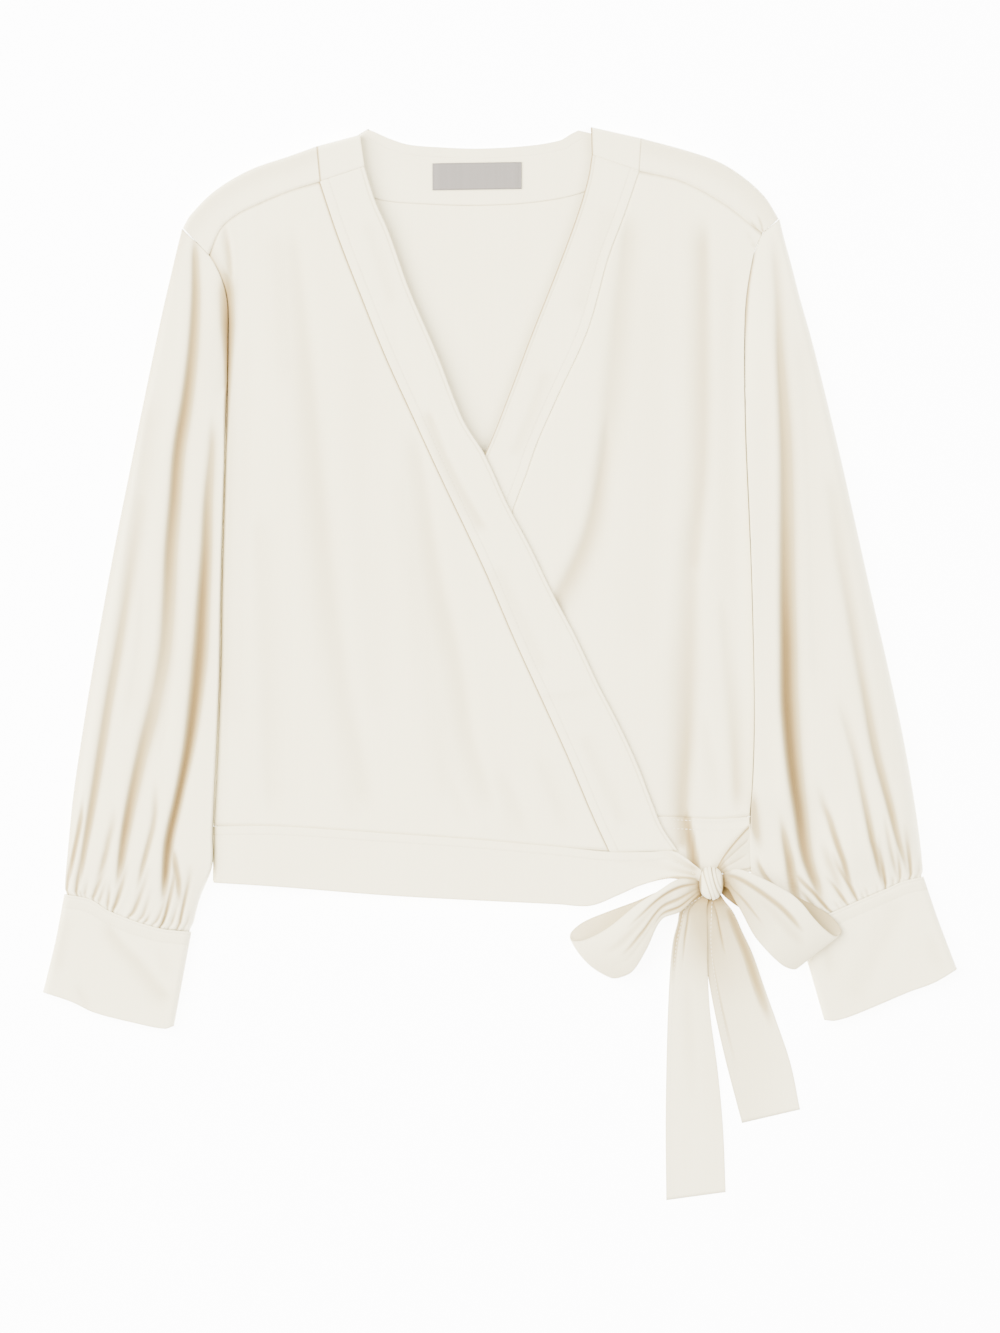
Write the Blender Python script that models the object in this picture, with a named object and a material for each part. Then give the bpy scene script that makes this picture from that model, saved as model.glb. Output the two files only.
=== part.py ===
"""Wrap top of light woven cloth, laid flat and face up, as its sewn pieces.

Frame: metres, +Z up, +Y towards the neck, +X to the wearer's left, the surface it lies on at z = 0.
Tables and functions below work in millimetres. add_grid() scales them to metres when it makes a mesh.
A flat piece is a smooth grid of points on its outer face, thickened inwards by a Solidify modifier.
A cuff is a tube through sections, its inner wall worked out from the outer one. A sleeve is made the same
way, as an upper and an under half that meet along its two edges, so that its collision stays open inside.
"""
import math
from collections import namedtuple

import bpy
import bmesh
from mathutils import Vector

MM = 0.001

# --- driving dimensions, mm ---
CLOTH = 1.1           # wall of the single cloth
DOUBLE = 1.6          # wall of the folded bands, cuffs and waistband
TIE = 1.4             # wall of the belt's folded strips
SEAM = 0.3            # gap between two pieces at a seam
SLEEVE_GAP = 0.5      # the same at a curved armhole seam
UNDER = 7.2           # top of the wearer's left front, which lies underneath
OVER = 9.6            # top of the wearer's right front, which crosses over it
PROUD = 0.4           # how far a folded band stands above the panel it is sewn to
SIDE_ROUND = 7.0      # plan radius of a front's roll down to the side seam
EDGE_DIP = 0.45       # how far the inner corner of that rolled edge hangs below its outer corner
SHOULDER_ROUND = 4.5  # plan radius of the fold over the shoulders
WAISTBAND = 41.0      # depth of the waistband
TIE_LIFT = 4.0        # rise of the waistband's free end to the knot
CUFF_TOP = 8.6        # height of a cuff, its mouth slightly open
CUFF_ROUND = 5.0      # plan radius of a cuff's side edges
LABEL_WALL = 1.0
KNOT_CENTRE = (156.5, -162.5, 16.6)
KNOT_HALF = (8.8, 12.5, 7.9)
KNOT_LEAN = 0.18      # slant of the knot's turns, as a share of its half length

IVORY = (0.86, 0.84, 0.79, 1.0)
GREY = (0.45, 0.43, 0.41, 1.0)


class Curve:
    """Smooth curve through a few points, read by the fraction of its length."""

    def __init__(self, *points):
        self.points = [Vector(point) for point in points]
        reach = [0.0]
        for start, end in zip(self.points, self.points[1:]):
            reach.append(reach[-1] + (end - start).length)
        self.length = reach[-1]
        self.marks = [distance / self.length for distance in reach]

    def slope(self, index):
        before = max(index - 1, 0)
        after = min(index + 1, len(self.points) - 1)
        span = self.marks[after] - self.marks[before]
        return (self.points[after] - self.points[before]) / span

    def at(self, fraction):
        index = sum(mark <= fraction for mark in self.marks) - 1
        index = min(max(index, 0), len(self.points) - 2)
        span = self.marks[index + 1] - self.marks[index]
        f = (fraction - self.marks[index]) / span
        start = self.points[index] * (1 + 2 * f) * (1 - f) ** 2
        end = self.points[index + 1] * f * f * (3 - 2 * f)
        leave = self.slope(index) * span * f * (1 - f) ** 2
        arrive = self.slope(index + 1) * span * f * f * (1 - f)
        return start + end + leave - arrive

    def beside(self, distance):
        """The same curve moved sideways, to the left of its direction when distance is positive."""
        moved = []
        for index, point in enumerate(self.points):
            run = self.slope(index).normalized()
            moved.append((point.x - run.y * distance, point.y + run.x * distance))
        return Curve(*moved)


# --- outlines in plan, mm: the curves that neighbouring pieces share ---
# wearer's right is -X. Armholes run from the shoulder tip to the underarm, sides from there to the waist.
ARMHOLE_R = Curve((-234.5, 322), (-225, 312), (-215, 302), (-208, 290), (-203, 276), (-201, 262),
                  (-201, 235), (-201.6, 205))
ARMHOLE_L = Curve((206, 329), (194, 318), (190, 309.5), (187, 300), (182, 270), (180.6, 240), (180.6, 205))
SIDE_R = Curve((-201.6, 205), (-203.5, 160), (-206.5, 100), (-208, 47), (-211, -57), (-212, -120))
SIDE_L = Curve((180.6, 205), (181.7, 160), (184, 110), (186, 60), (188, -36), (186.5, -90), (184.5, -113))
SHOULDER_R = Curve((-234.5, 322), (-229, 331.5), (-211, 349.5), (-185, 365), (-155, 375.5), (-135.5, 382.5))
SHOULDER_L = Curve((104.5, 388.5), (141, 378.5), (163, 370.5), (181, 359), (196, 345), (206, 329))
FORWARD_R = Curve((-215, 302), (-206, 321), (-195, 331), (-179, 339), (-155, 349), (-133, 356))
FORWARD_L = Curve((103, 364), (135, 356), (165, 340), (186, 324), (194, 318))
BAND_FOLD_R = Curve((-135.5, 382.5), (-96.5, 395))
BAND_FOLD_L = Curve((104.5, 388.5), (63.5, 397.3))
BAND_FORWARD_R = Curve((-133, 356), (-98.5, 367))
BAND_FORWARD_L = Curve((103, 364), (70.5, 375))
OVER_SEAM = Curve((-133, 356), (-120, 317), (-103, 273), (-84, 226), (-63, 180), (-46, 143), (-11, 69),
                  (10, 20), (30, -24), (50, -68), (69, -113), (81, -139))
OVER_EDGE = Curve((-98.5, 367), (-91, 342), (-82, 319), (-67, 277), (-46, 228), (-27, 180), (-11, 154),
                  (6, 117), (21, 89), (39, 52), (56, 20), (73, -16), (87, -43), (101, -73), (113, -104),
                  (120, -121), (131, -137.5))
UNDER_EDGE = Curve((70.5, 375), (63, 360), (56, 336), (44, 296), (22, 240), (7, 200), (-11, 155),
                   (-44, 88), (-85, 10), (-126, -71), (-147, -119.5))
UNDER_SEAM = Curve((103, 364), (92, 332), (80, 300), (65, 247), (41, 194), (27, 162), (19, 139),
                   (0, 91), (-38, 10), (-78, -71), (-104, -118))
WAIST_SEAM_OVER = ((-165, -120), (-93, -124.6), (-21, -129.6), (43, -135.2))
WAIST_SEAM_UNDER = ((0, -116), (118, -113), (160, -114.5))
KNOT_MOUTH = Curve((148.7, -152.6), (147.2, -161.2))


# --- soft folds of the body, mm: path through (x, y) points from the top down ---
Fold = namedtuple("Fold", "path wide deep")
OVER_FOLDS = (
    Fold(((-57, 135), (-46, 76), (-30, 0), (-20, -60), (-2, -112)), 11, 1.2),
    Fold(((-146, 320), (-143, 150), (-139, -60)), 11, 0.9),
    Fold(((-100, 275), (-101, 120), (-94, -50)), 10, 0.8),
    Fold(((-194, 322), (-193, 285), (-195, 232)), 6, 1.6),
    Fold(((-180, 60), (-176, -20), (-172, -112)), 9, 0.7),
    Fold(((28, -66), (38, -95), (50, -128)), 6, 0.7),
)
UNDER_FOLDS = (
    Fold(((84, 250), (71, 137), (56, 83), (36, 45)), 8, 2.0),
    Fold(((152, 330), (149, 180), (143, 104), (139, 0)), 9, 1.0),
    Fold(((142, 60), (136, -40), (134, -90), (141, -124), (147, -160)), 6, 2.6),
    Fold(((169, 30), (170, -50), (168, -112)), 7, 1.0),
)
SLEEVE_FOLDS_R = (
    Fold(((-226, 312), (-229, 245), (-236, 180), (-247, 80), (-257, -23), (-271, -100), (-282, -152)),
         7, 5.0),
    Fold(((-217, 175), (-220, 87), (-224, 0), (-233, -80), (-246, -128), (-249, -184)), 6, 6.5),
    Fold(((-268, 110), (-277, 40), (-290, -40), (-299, -110)), 7, 2.5),
)
SLEEVE_FOLDS_L = (
    Fold(((203, 300), (206, 241), (210, 190), (212, 100), (214, -3), (213, -70), (219, -100), (231, -172)),
         6, 8.0),
    Fold(((250, 90), (260, 28), (273, -36), (288, -100), (301, -152)), 7, 3.5),
    Fold(((256, 0), (263, -68), (271, -112), (284, -164)), 6, 3.0),
    Fold(((236, -90), (247, -124), (260, -166)), 5, 3.0),
    Fold(((227, 250), (236, 180), (248, 110)), 8, 1.6),
)

# --- gathers where a sleeve joins its cuff, from the outer edge (across 0) to the inner edge (1) ---
Gather = namedtuple("Gather", "across long deep")
GATHERS_R = (
    Gather(0.04, 26, 2.2), Gather(0.11, 34, 2.6), Gather(0.17, 16, 1.6), Gather(0.23, 44, 3.0),
    Gather(0.29, 18, 1.6), Gather(0.36, 50, 3.2), Gather(0.43, 30, 2.2), Gather(0.51, 38, 2.8),
    Gather(0.58, 15, 1.6), Gather(0.64, 42, 3.0), Gather(0.71, 26, 2.4), Gather(0.78, 48, 3.2),
    Gather(0.85, 18, 1.8), Gather(0.91, 30, 2.4), Gather(0.965, 22, 2.0),
)
GATHERS_L = (
    Gather(0.04, 24, 2.2), Gather(0.10, 36, 2.6), Gather(0.17, 30, 2.6), Gather(0.23, 46, 3.0),
    Gather(0.30, 40, 2.8), Gather(0.37, 18, 1.6), Gather(0.44, 44, 3.0), Gather(0.50, 32, 2.4),
    Gather(0.57, 40, 3.0), Gather(0.64, 20, 1.8), Gather(0.70, 34, 2.6), Gather(0.77, 46, 3.2),
    Gather(0.85, 20, 2.0), Gather(0.94, 28, 2.4),
)


def smooth(low, high, value):
    """0 below low, 1 above high and a soft step between."""
    f = min(max((value - low) / (high - low), 0.0), 1.0)
    return f * f * (3 - 2 * f)


def rise(distance, radius):
    """Quarter-round profile: 0 at the edge, 1 from the radius inwards."""
    f = min(max(distance / radius, 0.0), 1.0)
    return math.sqrt(1 - (1 - f) ** 2)


def relief(folds, x, y):
    """Depth of all folds at a plan point. Each fades out at both ends of its path."""
    depth = 0.0
    for fold in folds:
        top, bottom = fold.path[0][1], fold.path[-1][1]
        if not bottom <= y <= top:
            continue
        for (x0, y0), (x1, y1) in zip(fold.path, fold.path[1:]):
            if y1 <= y <= y0:
                f = (y0 - y) / (y0 - y1)
                centre = x0 + (x1 - x0) * f
                lean = math.hypot(x1 - x0, y1 - y0) / (y0 - y1)
                break
        fade = smooth(0, 30, top - y) * smooth(0, 12, y - bottom)
        depth += fold.deep * fade * math.exp(-((x - centre) / (fold.wide * lean)) ** 2)
    return depth


def over_top(x, y):
    return OVER - relief(OVER_FOLDS, x, y)


def under_top(x, y):
    return UNDER - relief(OVER_FOLDS, x, y) - relief(UNDER_FOLDS, x, y)


def panel(left, right, top=(), bottom=()):
    """Plan map of a piece between two edges. top and bottom hold the inner points of its other edges."""
    head = Curve(left.points[0], *top, right.points[0])
    foot = Curve(left.points[-1], *bottom, right.points[-1])

    def plan(u, v):
        across = left.at(v) * (1 - u) + right.at(v) * u
        down = head.at(u) * (1 - v) + foot.at(u) * v
        top_corners = head.at(0) * (1 - u) + head.at(1) * u
        foot_corners = foot.at(0) * (1 - u) + foot.at(1) * u
        return across + down - top_corners * (1 - v) - foot_corners * v
    return plan


def even(count):
    return [index / count for index in range(count + 1)]


def material(name, colour, roughness):
    cloth = bpy.data.materials.new(name)
    cloth.use_nodes = True
    shader = cloth.node_tree.nodes["Principled BSDF"]
    shader.inputs["Base Color"].default_value = colour
    shader.inputs["Roughness"].default_value = roughness
    shader.inputs["Metallic"].default_value = 0.0
    return cloth


def add_grid(shape, made, rows, ring=False, flip=False):
    """Faces of a grid of points. A point given twice, in one grid or in two, is one vertex."""
    verts = []
    for row in rows:
        line = []
        for point in row:
            key = tuple(round(value, 4) for value in point)
            if key not in made:
                made[key] = shape.verts.new(Vector(point) * MM)
            line.append(made[key])
        verts.append(line)
    for upper, lower in zip(verts, verts[1:]):
        for index in range(len(upper) - (0 if ring else 1)):
            after = (index + 1) % len(upper)
            corners = [upper[index], lower[index], lower[after], upper[after]]
            if flip:
                corners.reverse()
            shape.faces.new(corners)


def add_piece(name, shape, colour):
    mesh = bpy.data.meshes.new(name)
    shape.to_mesh(mesh)
    shape.free()
    mesh.shade_smooth()
    piece = bpy.data.objects.new(name, mesh)
    bpy.context.scene.collection.objects.link(piece)
    piece.data.materials.append(material(name + "_cloth", colour, 0.85))
    return piece


def wall(name, grids, thickness, flip=False, offset=-1.0, colour=IVORY):
    """One cloth wall: grids of outer points, thickened inwards by a Solidify modifier."""
    shape = bmesh.new()
    made = {}
    for rows in grids:
        add_grid(shape, made, rows, flip=flip)
    piece = add_piece(name, shape, colour)
    thicken = piece.modifiers.new("wall", "SOLIDIFY")
    thicken.thickness = thickness * MM
    thicken.offset = offset
    thicken.use_even_offset = True


def inset(profile, thickness, closed=True):
    """Clockwise profile of (across, height) points, moved inwards. The ends of an open one move level."""
    inner = []
    for index, place in enumerate(profile):
        before = (place - profile[index - 1]).normalized()
        after = (profile[(index + 1) % len(profile)] - place).normalized()
        side = Vector((before.y, -before.x))
        middle = (side + Vector((after.y, -after.x))).normalized()
        inner.append(place + middle * thickness / max(middle.dot(side), 0.5))
    if not closed:
        level = Vector((math.copysign(thickness, profile[-1].x - profile[0].x), 0))
        inner[0] = profile[0] + level
        inner[-1] = profile[-1] - level
    return inner


def tube(name, sections, flip):
    """A tube of cloth, open at both ends. sections hold (plan line, its length, profile, thickness)."""
    outer_rows, inner_rows = [], []
    for line, width, profile, thickness in sections:
        for rows, ring in ((outer_rows, profile), (inner_rows, inset(profile, thickness))):
            rows.append([(*line(across / width), height) for across, height in ring])
    shape = bmesh.new()
    made = {}
    add_grid(shape, made, outer_rows, ring=True, flip=flip)
    add_grid(shape, made, inner_rows, ring=True, flip=not flip)
    add_grid(shape, made, [inner_rows[0], outer_rows[0]], ring=True, flip=flip)
    add_grid(shape, made, [outer_rows[-1], inner_rows[-1]], ring=True, flip=flip)
    add_piece(name, shape, IVORY)


def half_tube(name, sections, flip):
    """The upper or the under half of a tube's cloth, from the same kind of sections with open profiles."""
    outer_rows, inner_rows = [], []
    for line, width, profile, thickness in sections:
        for rows, half in ((outer_rows, profile), (inner_rows, inset(profile, thickness, closed=False))):
            rows.append([(*line(across / width), height) for across, height in half])
    shape = bmesh.new()
    made = {}
    around = [outer + inner[::-1] for outer, inner in zip(outer_rows, inner_rows)]
    add_grid(shape, made, around, ring=True, flip=flip)
    add_grid(shape, made, [inner_rows[0], outer_rows[0]], flip=flip)
    add_grid(shape, made, [outer_rows[-1], inner_rows[-1]], flip=flip)
    add_piece(name, shape, IVORY)


# --- body ---
def edge_height(y, top):
    """Height of a front's outer edge: level with the sleeve at the shoulder, down on the back below it."""
    low = CLOTH + SEAM + EDGE_DIP
    return low + (top - 0.8 - low) * smooth(232, 300, y)


def columns(width, count):
    """Fractions across a row of the given width: close together where the front rolls down to its side."""
    near = [0.0, 0.8, 2.2, 4.5]
    spread = [SIDE_ROUND + (width - SIDE_ROUND) * fraction for fraction in even(count)]
    return [distance / width for distance in near + spread]


DOWN = [0, 0.016, 0.032, 0.048, 0.066, 0.088, 0.115] + [0.155 + 0.845 * fraction for fraction in even(13)]
ACROSS = 12           # columns of a front beside its rolled edge


def front(name, plan, top, side_first):
    """A front panel. side_first tells whether its side seam is at u = 0 or at u = 1."""
    rows = []
    for v in DOWN:
        width = (plan(1, v) - plan(0, v)).length
        row = []
        for fraction in columns(width, ACROSS):
            u = fraction if side_first else 1 - fraction
            point = plan(u, v)
            height = top(point.x, point.y)
            edge = edge_height(point.y, height)
            row.append((point.x, point.y, edge + (height - edge) * rise(fraction * width, SIDE_ROUND)))
        rows.append(row)
    wall(name, [rows], CLOTH, flip=not side_first)


def join(*curves):
    """One curve through the points of several that meet end to end."""
    points = list(curves[0].points)
    for curve in curves[1:]:
        points += curve.points[1:]
    return Curve(*points)


def fronts():
    half = SEAM / 2
    side = join(Curve(*ARMHOLE_R.points[2:]), SIDE_R)
    head = FORWARD_R.beside(-half).points[1:-1]
    plan = panel(side, OVER_SEAM.beside(-half), head, WAIST_SEAM_OVER)
    front("front_right", plan, over_top, True)

    side = join(Curve(*ARMHOLE_L.points[1:]), SIDE_L)
    head = FORWARD_L.beside(-half).points[1:-1]
    plan = panel(UNDER_SEAM.beside(half), side, head, WAIST_SEAM_UNDER)
    front("front_left", plan, under_top, False)


def over_the_shoulder(fold, seam, top, across, after):
    """Rows from the underside, round the shoulder's fold and on to the forward seam."""
    rows = []
    for step in even(5):
        angle = math.pi * step
        row = []
        for u in across:
            crest, end = fold.at(u), seam.at(u)
            back = (end - crest).normalized()
            point = crest + back * SHOULDER_ROUND * (1 - math.sin(angle))
            height = top(end.x, end.y)
            row.append((point.x, point.y, height / 2 * (1 - math.cos(angle))))
        rows.append(row)
    for v in even(after)[1:]:
        row = []
        for u in across:
            crest, end = fold.at(u), seam.at(u)
            start = crest + (end - crest).normalized() * SHOULDER_ROUND
            point = start + (end - start) * v
            row.append((point.x, point.y, top(end.x, end.y)))
        rows.append(row)
    return rows


# the back neckband's two edges where it lies flat: its seam to the back, and the neck edge
BandRow = namedtuple("BandRow", "seam neck")
BACK_BAND = (
    BandRow((-126, 368), (-90, 392)),
    BandRow((-111, 354), (-82, 388.5)),
    BandRow((-90, 343.5), (-68, 384)),
    BandRow((-54, 340), (-45, 382)),
    BandRow((-16, 339), (-16, 381)),
    BandRow((22, 341), (20, 383)),
    BandRow((56, 347), (44, 387)),
    BandRow((80, 358), (52, 391.5)),
    BandRow((96, 372), (58, 394.5)),
)


def back():
    """Back panel with its forward shoulders, which turn over to the front in the same cloth."""
    half = SEAM / 2
    aside = Vector((SEAM, 0))
    seam_r, seam_l = FORWARD_R.beside(half).points, FORWARD_L.beside(half).points
    seam_r = Curve(*seam_r[:-1], seam_r[-1] - aside)
    seam_l = Curve(seam_l[0] + aside, *seam_l[1:])
    fold_r = Curve(*SHOULDER_R.points[:-1], SHOULDER_R.points[-1] - aside)
    fold_l = Curve(SHOULDER_L.points[0] + aside, *SHOULDER_L.points[1:])
    across_r = columns((seam_r.points[-1] - seam_r.points[0]).length, ACROSS)
    across_l = [1 - u for u in columns((seam_l.points[-1] - seam_l.points[0]).length, ACROSS)][::-1]
    flap_r = over_the_shoulder(fold_r, seam_r, over_top, across_r, 2)
    flap_l = over_the_shoulder(fold_l, seam_l, under_top, across_l, 2)

    neck = Curve(*(row.seam for row in BACK_BAND)).beside(-SEAM)
    shoulders = [[Vector(point[:2]) for point in flap[0]] for flap in (flap_r, flap_l)]
    head = shoulders[0] + neck.points + shoulders[1]
    side_r = join(ARMHOLE_R, SIDE_R)
    side_l = join(ARMHOLE_L, SIDE_L)
    foot_r, foot_l = side_r.points[-1], side_l.points[-1]
    rows = []
    for v in [0, 0.025, 0.045, 0.065, 0.09, 0.12, 0.17, 0.25, 0.46, 0.73, 1]:
        shift_r = side_r.at(v) - side_r.at(0).lerp(foot_r, v)
        shift_l = side_l.at(v) - side_l.at(0).lerp(foot_l, v)
        row = []
        for index, start in enumerate(head):
            u = (start.x - head[0].x) / (head[-1].x - head[0].x)
            point = start.lerp(foot_r.lerp(foot_l, u), v) + shift_r * (1 - u) + shift_l * u
            row.append((point.x, point.y, 0.0))
        rows.append(row)
    wall("back_panel", [rows, flap_r[::-1], flap_l[::-1]], CLOTH, flip=True)


def neckbands():
    half = SEAM / 2
    across = [0.0, 0.06, 0.5, 0.94, 1.0]
    fold_r, seam_r = BAND_FOLD_R, BAND_FORWARD_R.beside(half)
    fold_l, seam_l = BAND_FOLD_L, BAND_FORWARD_L.beside(-half)
    rows_r = over_the_shoulder(fold_r, seam_r, lambda x, y: over_top(x, y) + PROUD, across, 2)
    rows_l = over_the_shoulder(fold_l, seam_l, lambda x, y: under_top(x, y) + PROUD, across, 2)
    flat = []
    for band in BACK_BAND:
        seam, neck = Vector(band.seam), Vector(band.neck)
        flat.append([(*seam.lerp(neck, u), 0.0) for u in across])
    wall("neckband_back", [rows_r[::-1] + flat + rows_l], DOUBLE, flip=True)

    for name, seam, edge, top in (
        ("neckband_right", OVER_SEAM.beside(half), OVER_EDGE, over_top),
        ("neckband_left", UNDER_SEAM.beside(-half), UNDER_EDGE, under_top),
    ):
        plan = panel(seam, edge)
        rows = []
        for v in DOWN:
            row = []
            for u in across:
                point = plan(u, v)
                row.append((point.x, point.y, top(point.x, point.y) + PROUD))
            rows.append(row)
        wall(name, [rows], DOUBLE, flip=name == "neckband_left")


def lowered(points, depth):
    return [(x, y - depth) for x, y in points]


def waistband_grid(name, plan, down, top, side_x):
    """A waistband length whose side end rolls down like the front above it."""
    low = DOUBLE + SEAM + EDGE_DIP
    rows = []
    for v in even(3):
        row = []
        for u in down:
            point = plan(u, v)
            height = top(point.x, point.y)
            row.append((point.x, point.y, low + (height - low) * rise(abs(point.x - side_x), SIDE_ROUND)))
        rows.append(row)
    wall(name, [rows], DOUBLE)


def waistbands():
    side = Curve((-212, -120 - SEAM), (-212, -162))
    top = lowered(WAIST_SEAM_OVER, SEAM) + [(81, -139 - SEAM), (110, -139.2), (129, -139)]
    hem = [(-165, -165), (-75, -172), (43, -178), (67, -179)]
    hem += [(88, -171), (104, -164), (124, -159), (136, -160)]
    near = [0, 0.002, 0.006, 0.012]

    def tie_top(x, y):
        return over_top(x, y) + PROUD + TIE_LIFT * smooth(112, 146, x)
    waistband_grid("waistband_right", panel(side, KNOT_MOUTH, top, hem),
                   near + [0.019 + 0.981 * fraction for fraction in even(20)], tie_top, -212)

    side = Curve((184.5, -113 - SEAM), (184.5, -113 - WAISTBAND))
    inner = Curve((-147, -119.8), (-147, -119.8 - WAISTBAND))
    top = lowered(WAIST_SEAM_UNDER, SEAM)
    hem = [(0, -158), (118, -154.5), (160, -154.5)]
    waistband_grid("waistband_left", panel(inner, side, top, hem),
                   [0.981 * fraction for fraction in even(15)] + [1 - u for u in near[::-1]],
                   lambda x, y: under_top(x, y) + PROUD, 184.5)

    right = Curve((-212, -120 - SEAM), (-212, -120 - WAISTBAND))
    plan = panel(right, side)
    rows = [[(*plan(u, v), 0.0) for u in even(8)] for v in even(2)]
    wall("waistband_back", [rows], DOUBLE, flip=True)


# --- sleeves and cuffs ---
# each sleeve: sections across it from the armhole to the cuff, every one from the outer to the inner edge
Sleeve = namedtuple("Sleeve", "name sections hem cuff_outer cuff_inner folds gathers shoulder")
SLEEVES = (
    Sleeve(
        "right",
        (
            Curve((-235.5, 321), *ARMHOLE_R.beside(-SLEEVE_GAP).points[1:]),
            Curve((-239, 306), (-224, 292), (-213, 272), (-210.5, 248), (-210.5, 222), (-208.5, 205),
                  (-202.5, 194)),
            Curve((-244, 285), (-231, 271), (-221.5, 250), (-218.5, 224), (-216, 203), (-210, 190),
                  (-202.9, 183)),
            Curve((-250, 259), (-239, 245), (-230, 224), (-226, 200), (-220, 183), (-212, 172),
                  (-203.6, 166)),
            Curve((-257, 226), (-246, 211), (-237, 190), (-229, 168), (-218, 154), (-204.8, 144)),
            Curve((-265, 187), (-254, 170), (-240, 148), (-224, 128), (-206.4, 115)),
            Curve((-274, 142), (-256, 118), (-234, 97), (-207.7, 82)),
            Curve((-284, 92), (-250, 60), (-208.8, 40)),
            Curve((-294, 38), (-254, 10), (-210, -6)),
            Curve((-303, -14), (-260, -38), (-211.5, -50)),
            Curve((-310, -58), (-266, -78), (-212.3, -90)),
            Curve((-316, -100), (-270, -117), (-212.8, -124)),
            Curve((-319.5, -136), (-270, -150), (-213.5, -150)),
            Curve((-321.5, -158), (-288, -171), (-255, -183), (-222, -174)),
            Curve((-322, -170), (-303, -174), (-288, -183), (-254, -195), (-228, -198)),
        ),
        ((-317, -250), (-300, -258), (-269, -266), (-248, -270)),
        Curve((-322.2, -170.4), (-329, -206), (-338, -243)),
        Curve((-228.1, -198.4), (-233, -225), (-241, -268)),
        SLEEVE_FOLDS_R, GATHERS_R, OVER,
    ),
    Sleeve(
        "left",
        (
            Curve((207, 328.2), *ARMHOLE_L.beside(SLEEVE_GAP).points[1:]),
            Curve((210.6, 313), (199, 300), (192, 280), (190, 252), (190, 222), (187.5, 205), (181.5, 194)),
            Curve((215.8, 294), (206, 280), (199.5, 258), (197, 230), (194.5, 206), (189, 193), (181.4, 185)),
            Curve((222, 270), (214, 254), (207.5, 232), (204.5, 206), (199, 187), (191, 175), (182, 168)),
            Curve((231, 238), (222, 220), (214, 196), (206, 173), (196, 157), (183, 147)),
            Curve((242, 194), (230, 172), (216, 148), (202, 130), (184.6, 115)),
            Curve((253, 148), (236, 122), (214, 102), (185.8, 84)),
            Curve((264, 99), (232, 68), (187.2, 44)),
            Curve((275, 50), (236, 18), (188.2, -2)),
            Curve((287, -2), (242, -30), (188.8, -46)),
            Curve((297, -48), (246, -72), (187.8, -84)),
            Curve((304, -86), (250, -106), (187.6, -114)),
            Curve((309, -118), (256, -138), (189.6, -147)),
            Curve((312, -143), (276, -156), (240, -170), (207, -178.5)),
            Curve((313, -157), (297, -161), (286, -166), (265, -175), (247, -183), (218, -194)),
        ),
        ((321, -236), (302, -243), (264, -259), (248, -264)),
        Curve((313.2, -157.4), (324, -189), (338, -226)),
        Curve((218.2, -194.4), (227, -220), (239.6, -263.5)),
        SLEEVE_FOLDS_L, GATHERS_L, UNDER,
    ),
)
TAIL = 2.8            # width of a sleeve's flat inner edge beside the body
TAIL_TOP = 3.6        # its height: two layers of cloth
OUTER_EDGE = 3.2      # height of the outermost points of a sleeve's outer edge
SLEEVE_TOP = ((0.0, 9.5), (0.12, 11.5), (0.35, 12.5), (0.6, 13.5), (0.8, 15.5), (0.92, 16.5), (1.0, 8.6))
SLEEVE_ROUND = ((0.0, 5.0), (0.2, 12.0), (0.6, 16.0), (0.9, 15.0), (1.0, 8.0))
PRESSED = 8.6         # height of the left sleeve's lower inner corner, under the bow's loop
SEAM_EASE = 11.0      # how far from the armhole seam a sleeve rises to its full height
STEEP, GENTLE = 1.25, 1.05   # extra wall, as a factor, where a sleeve's cloth stands steep or lies flat
RINGS = (*range(13), 12.5, 13, 13.5, 14)     # rings of points along a sleeve, counted in its sections
UNDERSIDE = (0.8, 0.6, 0.4, 0.2)             # columns of a flat underside, as shares of its width


def read(table, position):
    """Value of a two-column table at a position, eased between its rows."""
    for (start, low), (end, high) in zip(table, table[1:]):
        if position <= end:
            return low + (high - low) * smooth(start, end, position)
    return table[-1][1]


def section(sleeve, place):
    """Section curve at a place along the sleeve, counted in sections from the armhole."""
    index = min(int(place), len(sleeve.sections) - 2)
    share = place - index
    if share == 0:
        return sleeve.sections[index]
    if share == 1:
        return sleeve.sections[index + 1]
    before, after = sleeve.sections[index], sleeve.sections[index + 1]
    return Curve(*(before.at(f).lerp(after.at(f), share) for f in even(8)))


def sleeve_height(sleeve, point, from_outer, width, t, reach):
    """Height of the sleeve's upper cloth, from its distances to the edges and to the armhole seam."""
    s = from_outer / width
    from_inner = width - from_outer
    tail = TAIL_TOP / 2 + TAIL_TOP / 2 * rise(from_inner, 0.8)
    outer_edge = OUTER_EDGE + (sleeve.shoulder / 2 - OUTER_EDGE) * (1 - smooth(0, 0.1, t))
    base = tail + (outer_edge - tail) * (1 - s) ** 2
    dome = read(SLEEVE_TOP, t) * (1 - 0.12 * (2 * s - 1) ** 2)
    if sleeve.name == "left":
        corner = smooth(0.4, 0.62, s) * smooth(0.8, 0.9, t)
        dome += (min(dome, PRESSED) - dome) * corner
    dome = max(dome - relief(sleeve.folds, point.x, point.y), TAIL_TOP + 0.6)
    round_off = read(SLEEVE_ROUND, t)
    flat = TAIL * (1 - smooth(0.8, 0.9, t))
    height = base + (dome - base) * rise(from_outer, round_off) * rise(from_inner - flat, round_off * 0.8)
    seam = TAIL_TOP + 0.4 + (sleeve.shoulder - 1.2 - TAIL_TOP) * smooth(232, 300, point.y)
    seam = base + (seam - base) * rise(from_outer, SHOULDER_ROUND) * rise(from_inner, 2.0)
    return seam + (height - seam) * rise(reach, SEAM_EASE)


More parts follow.
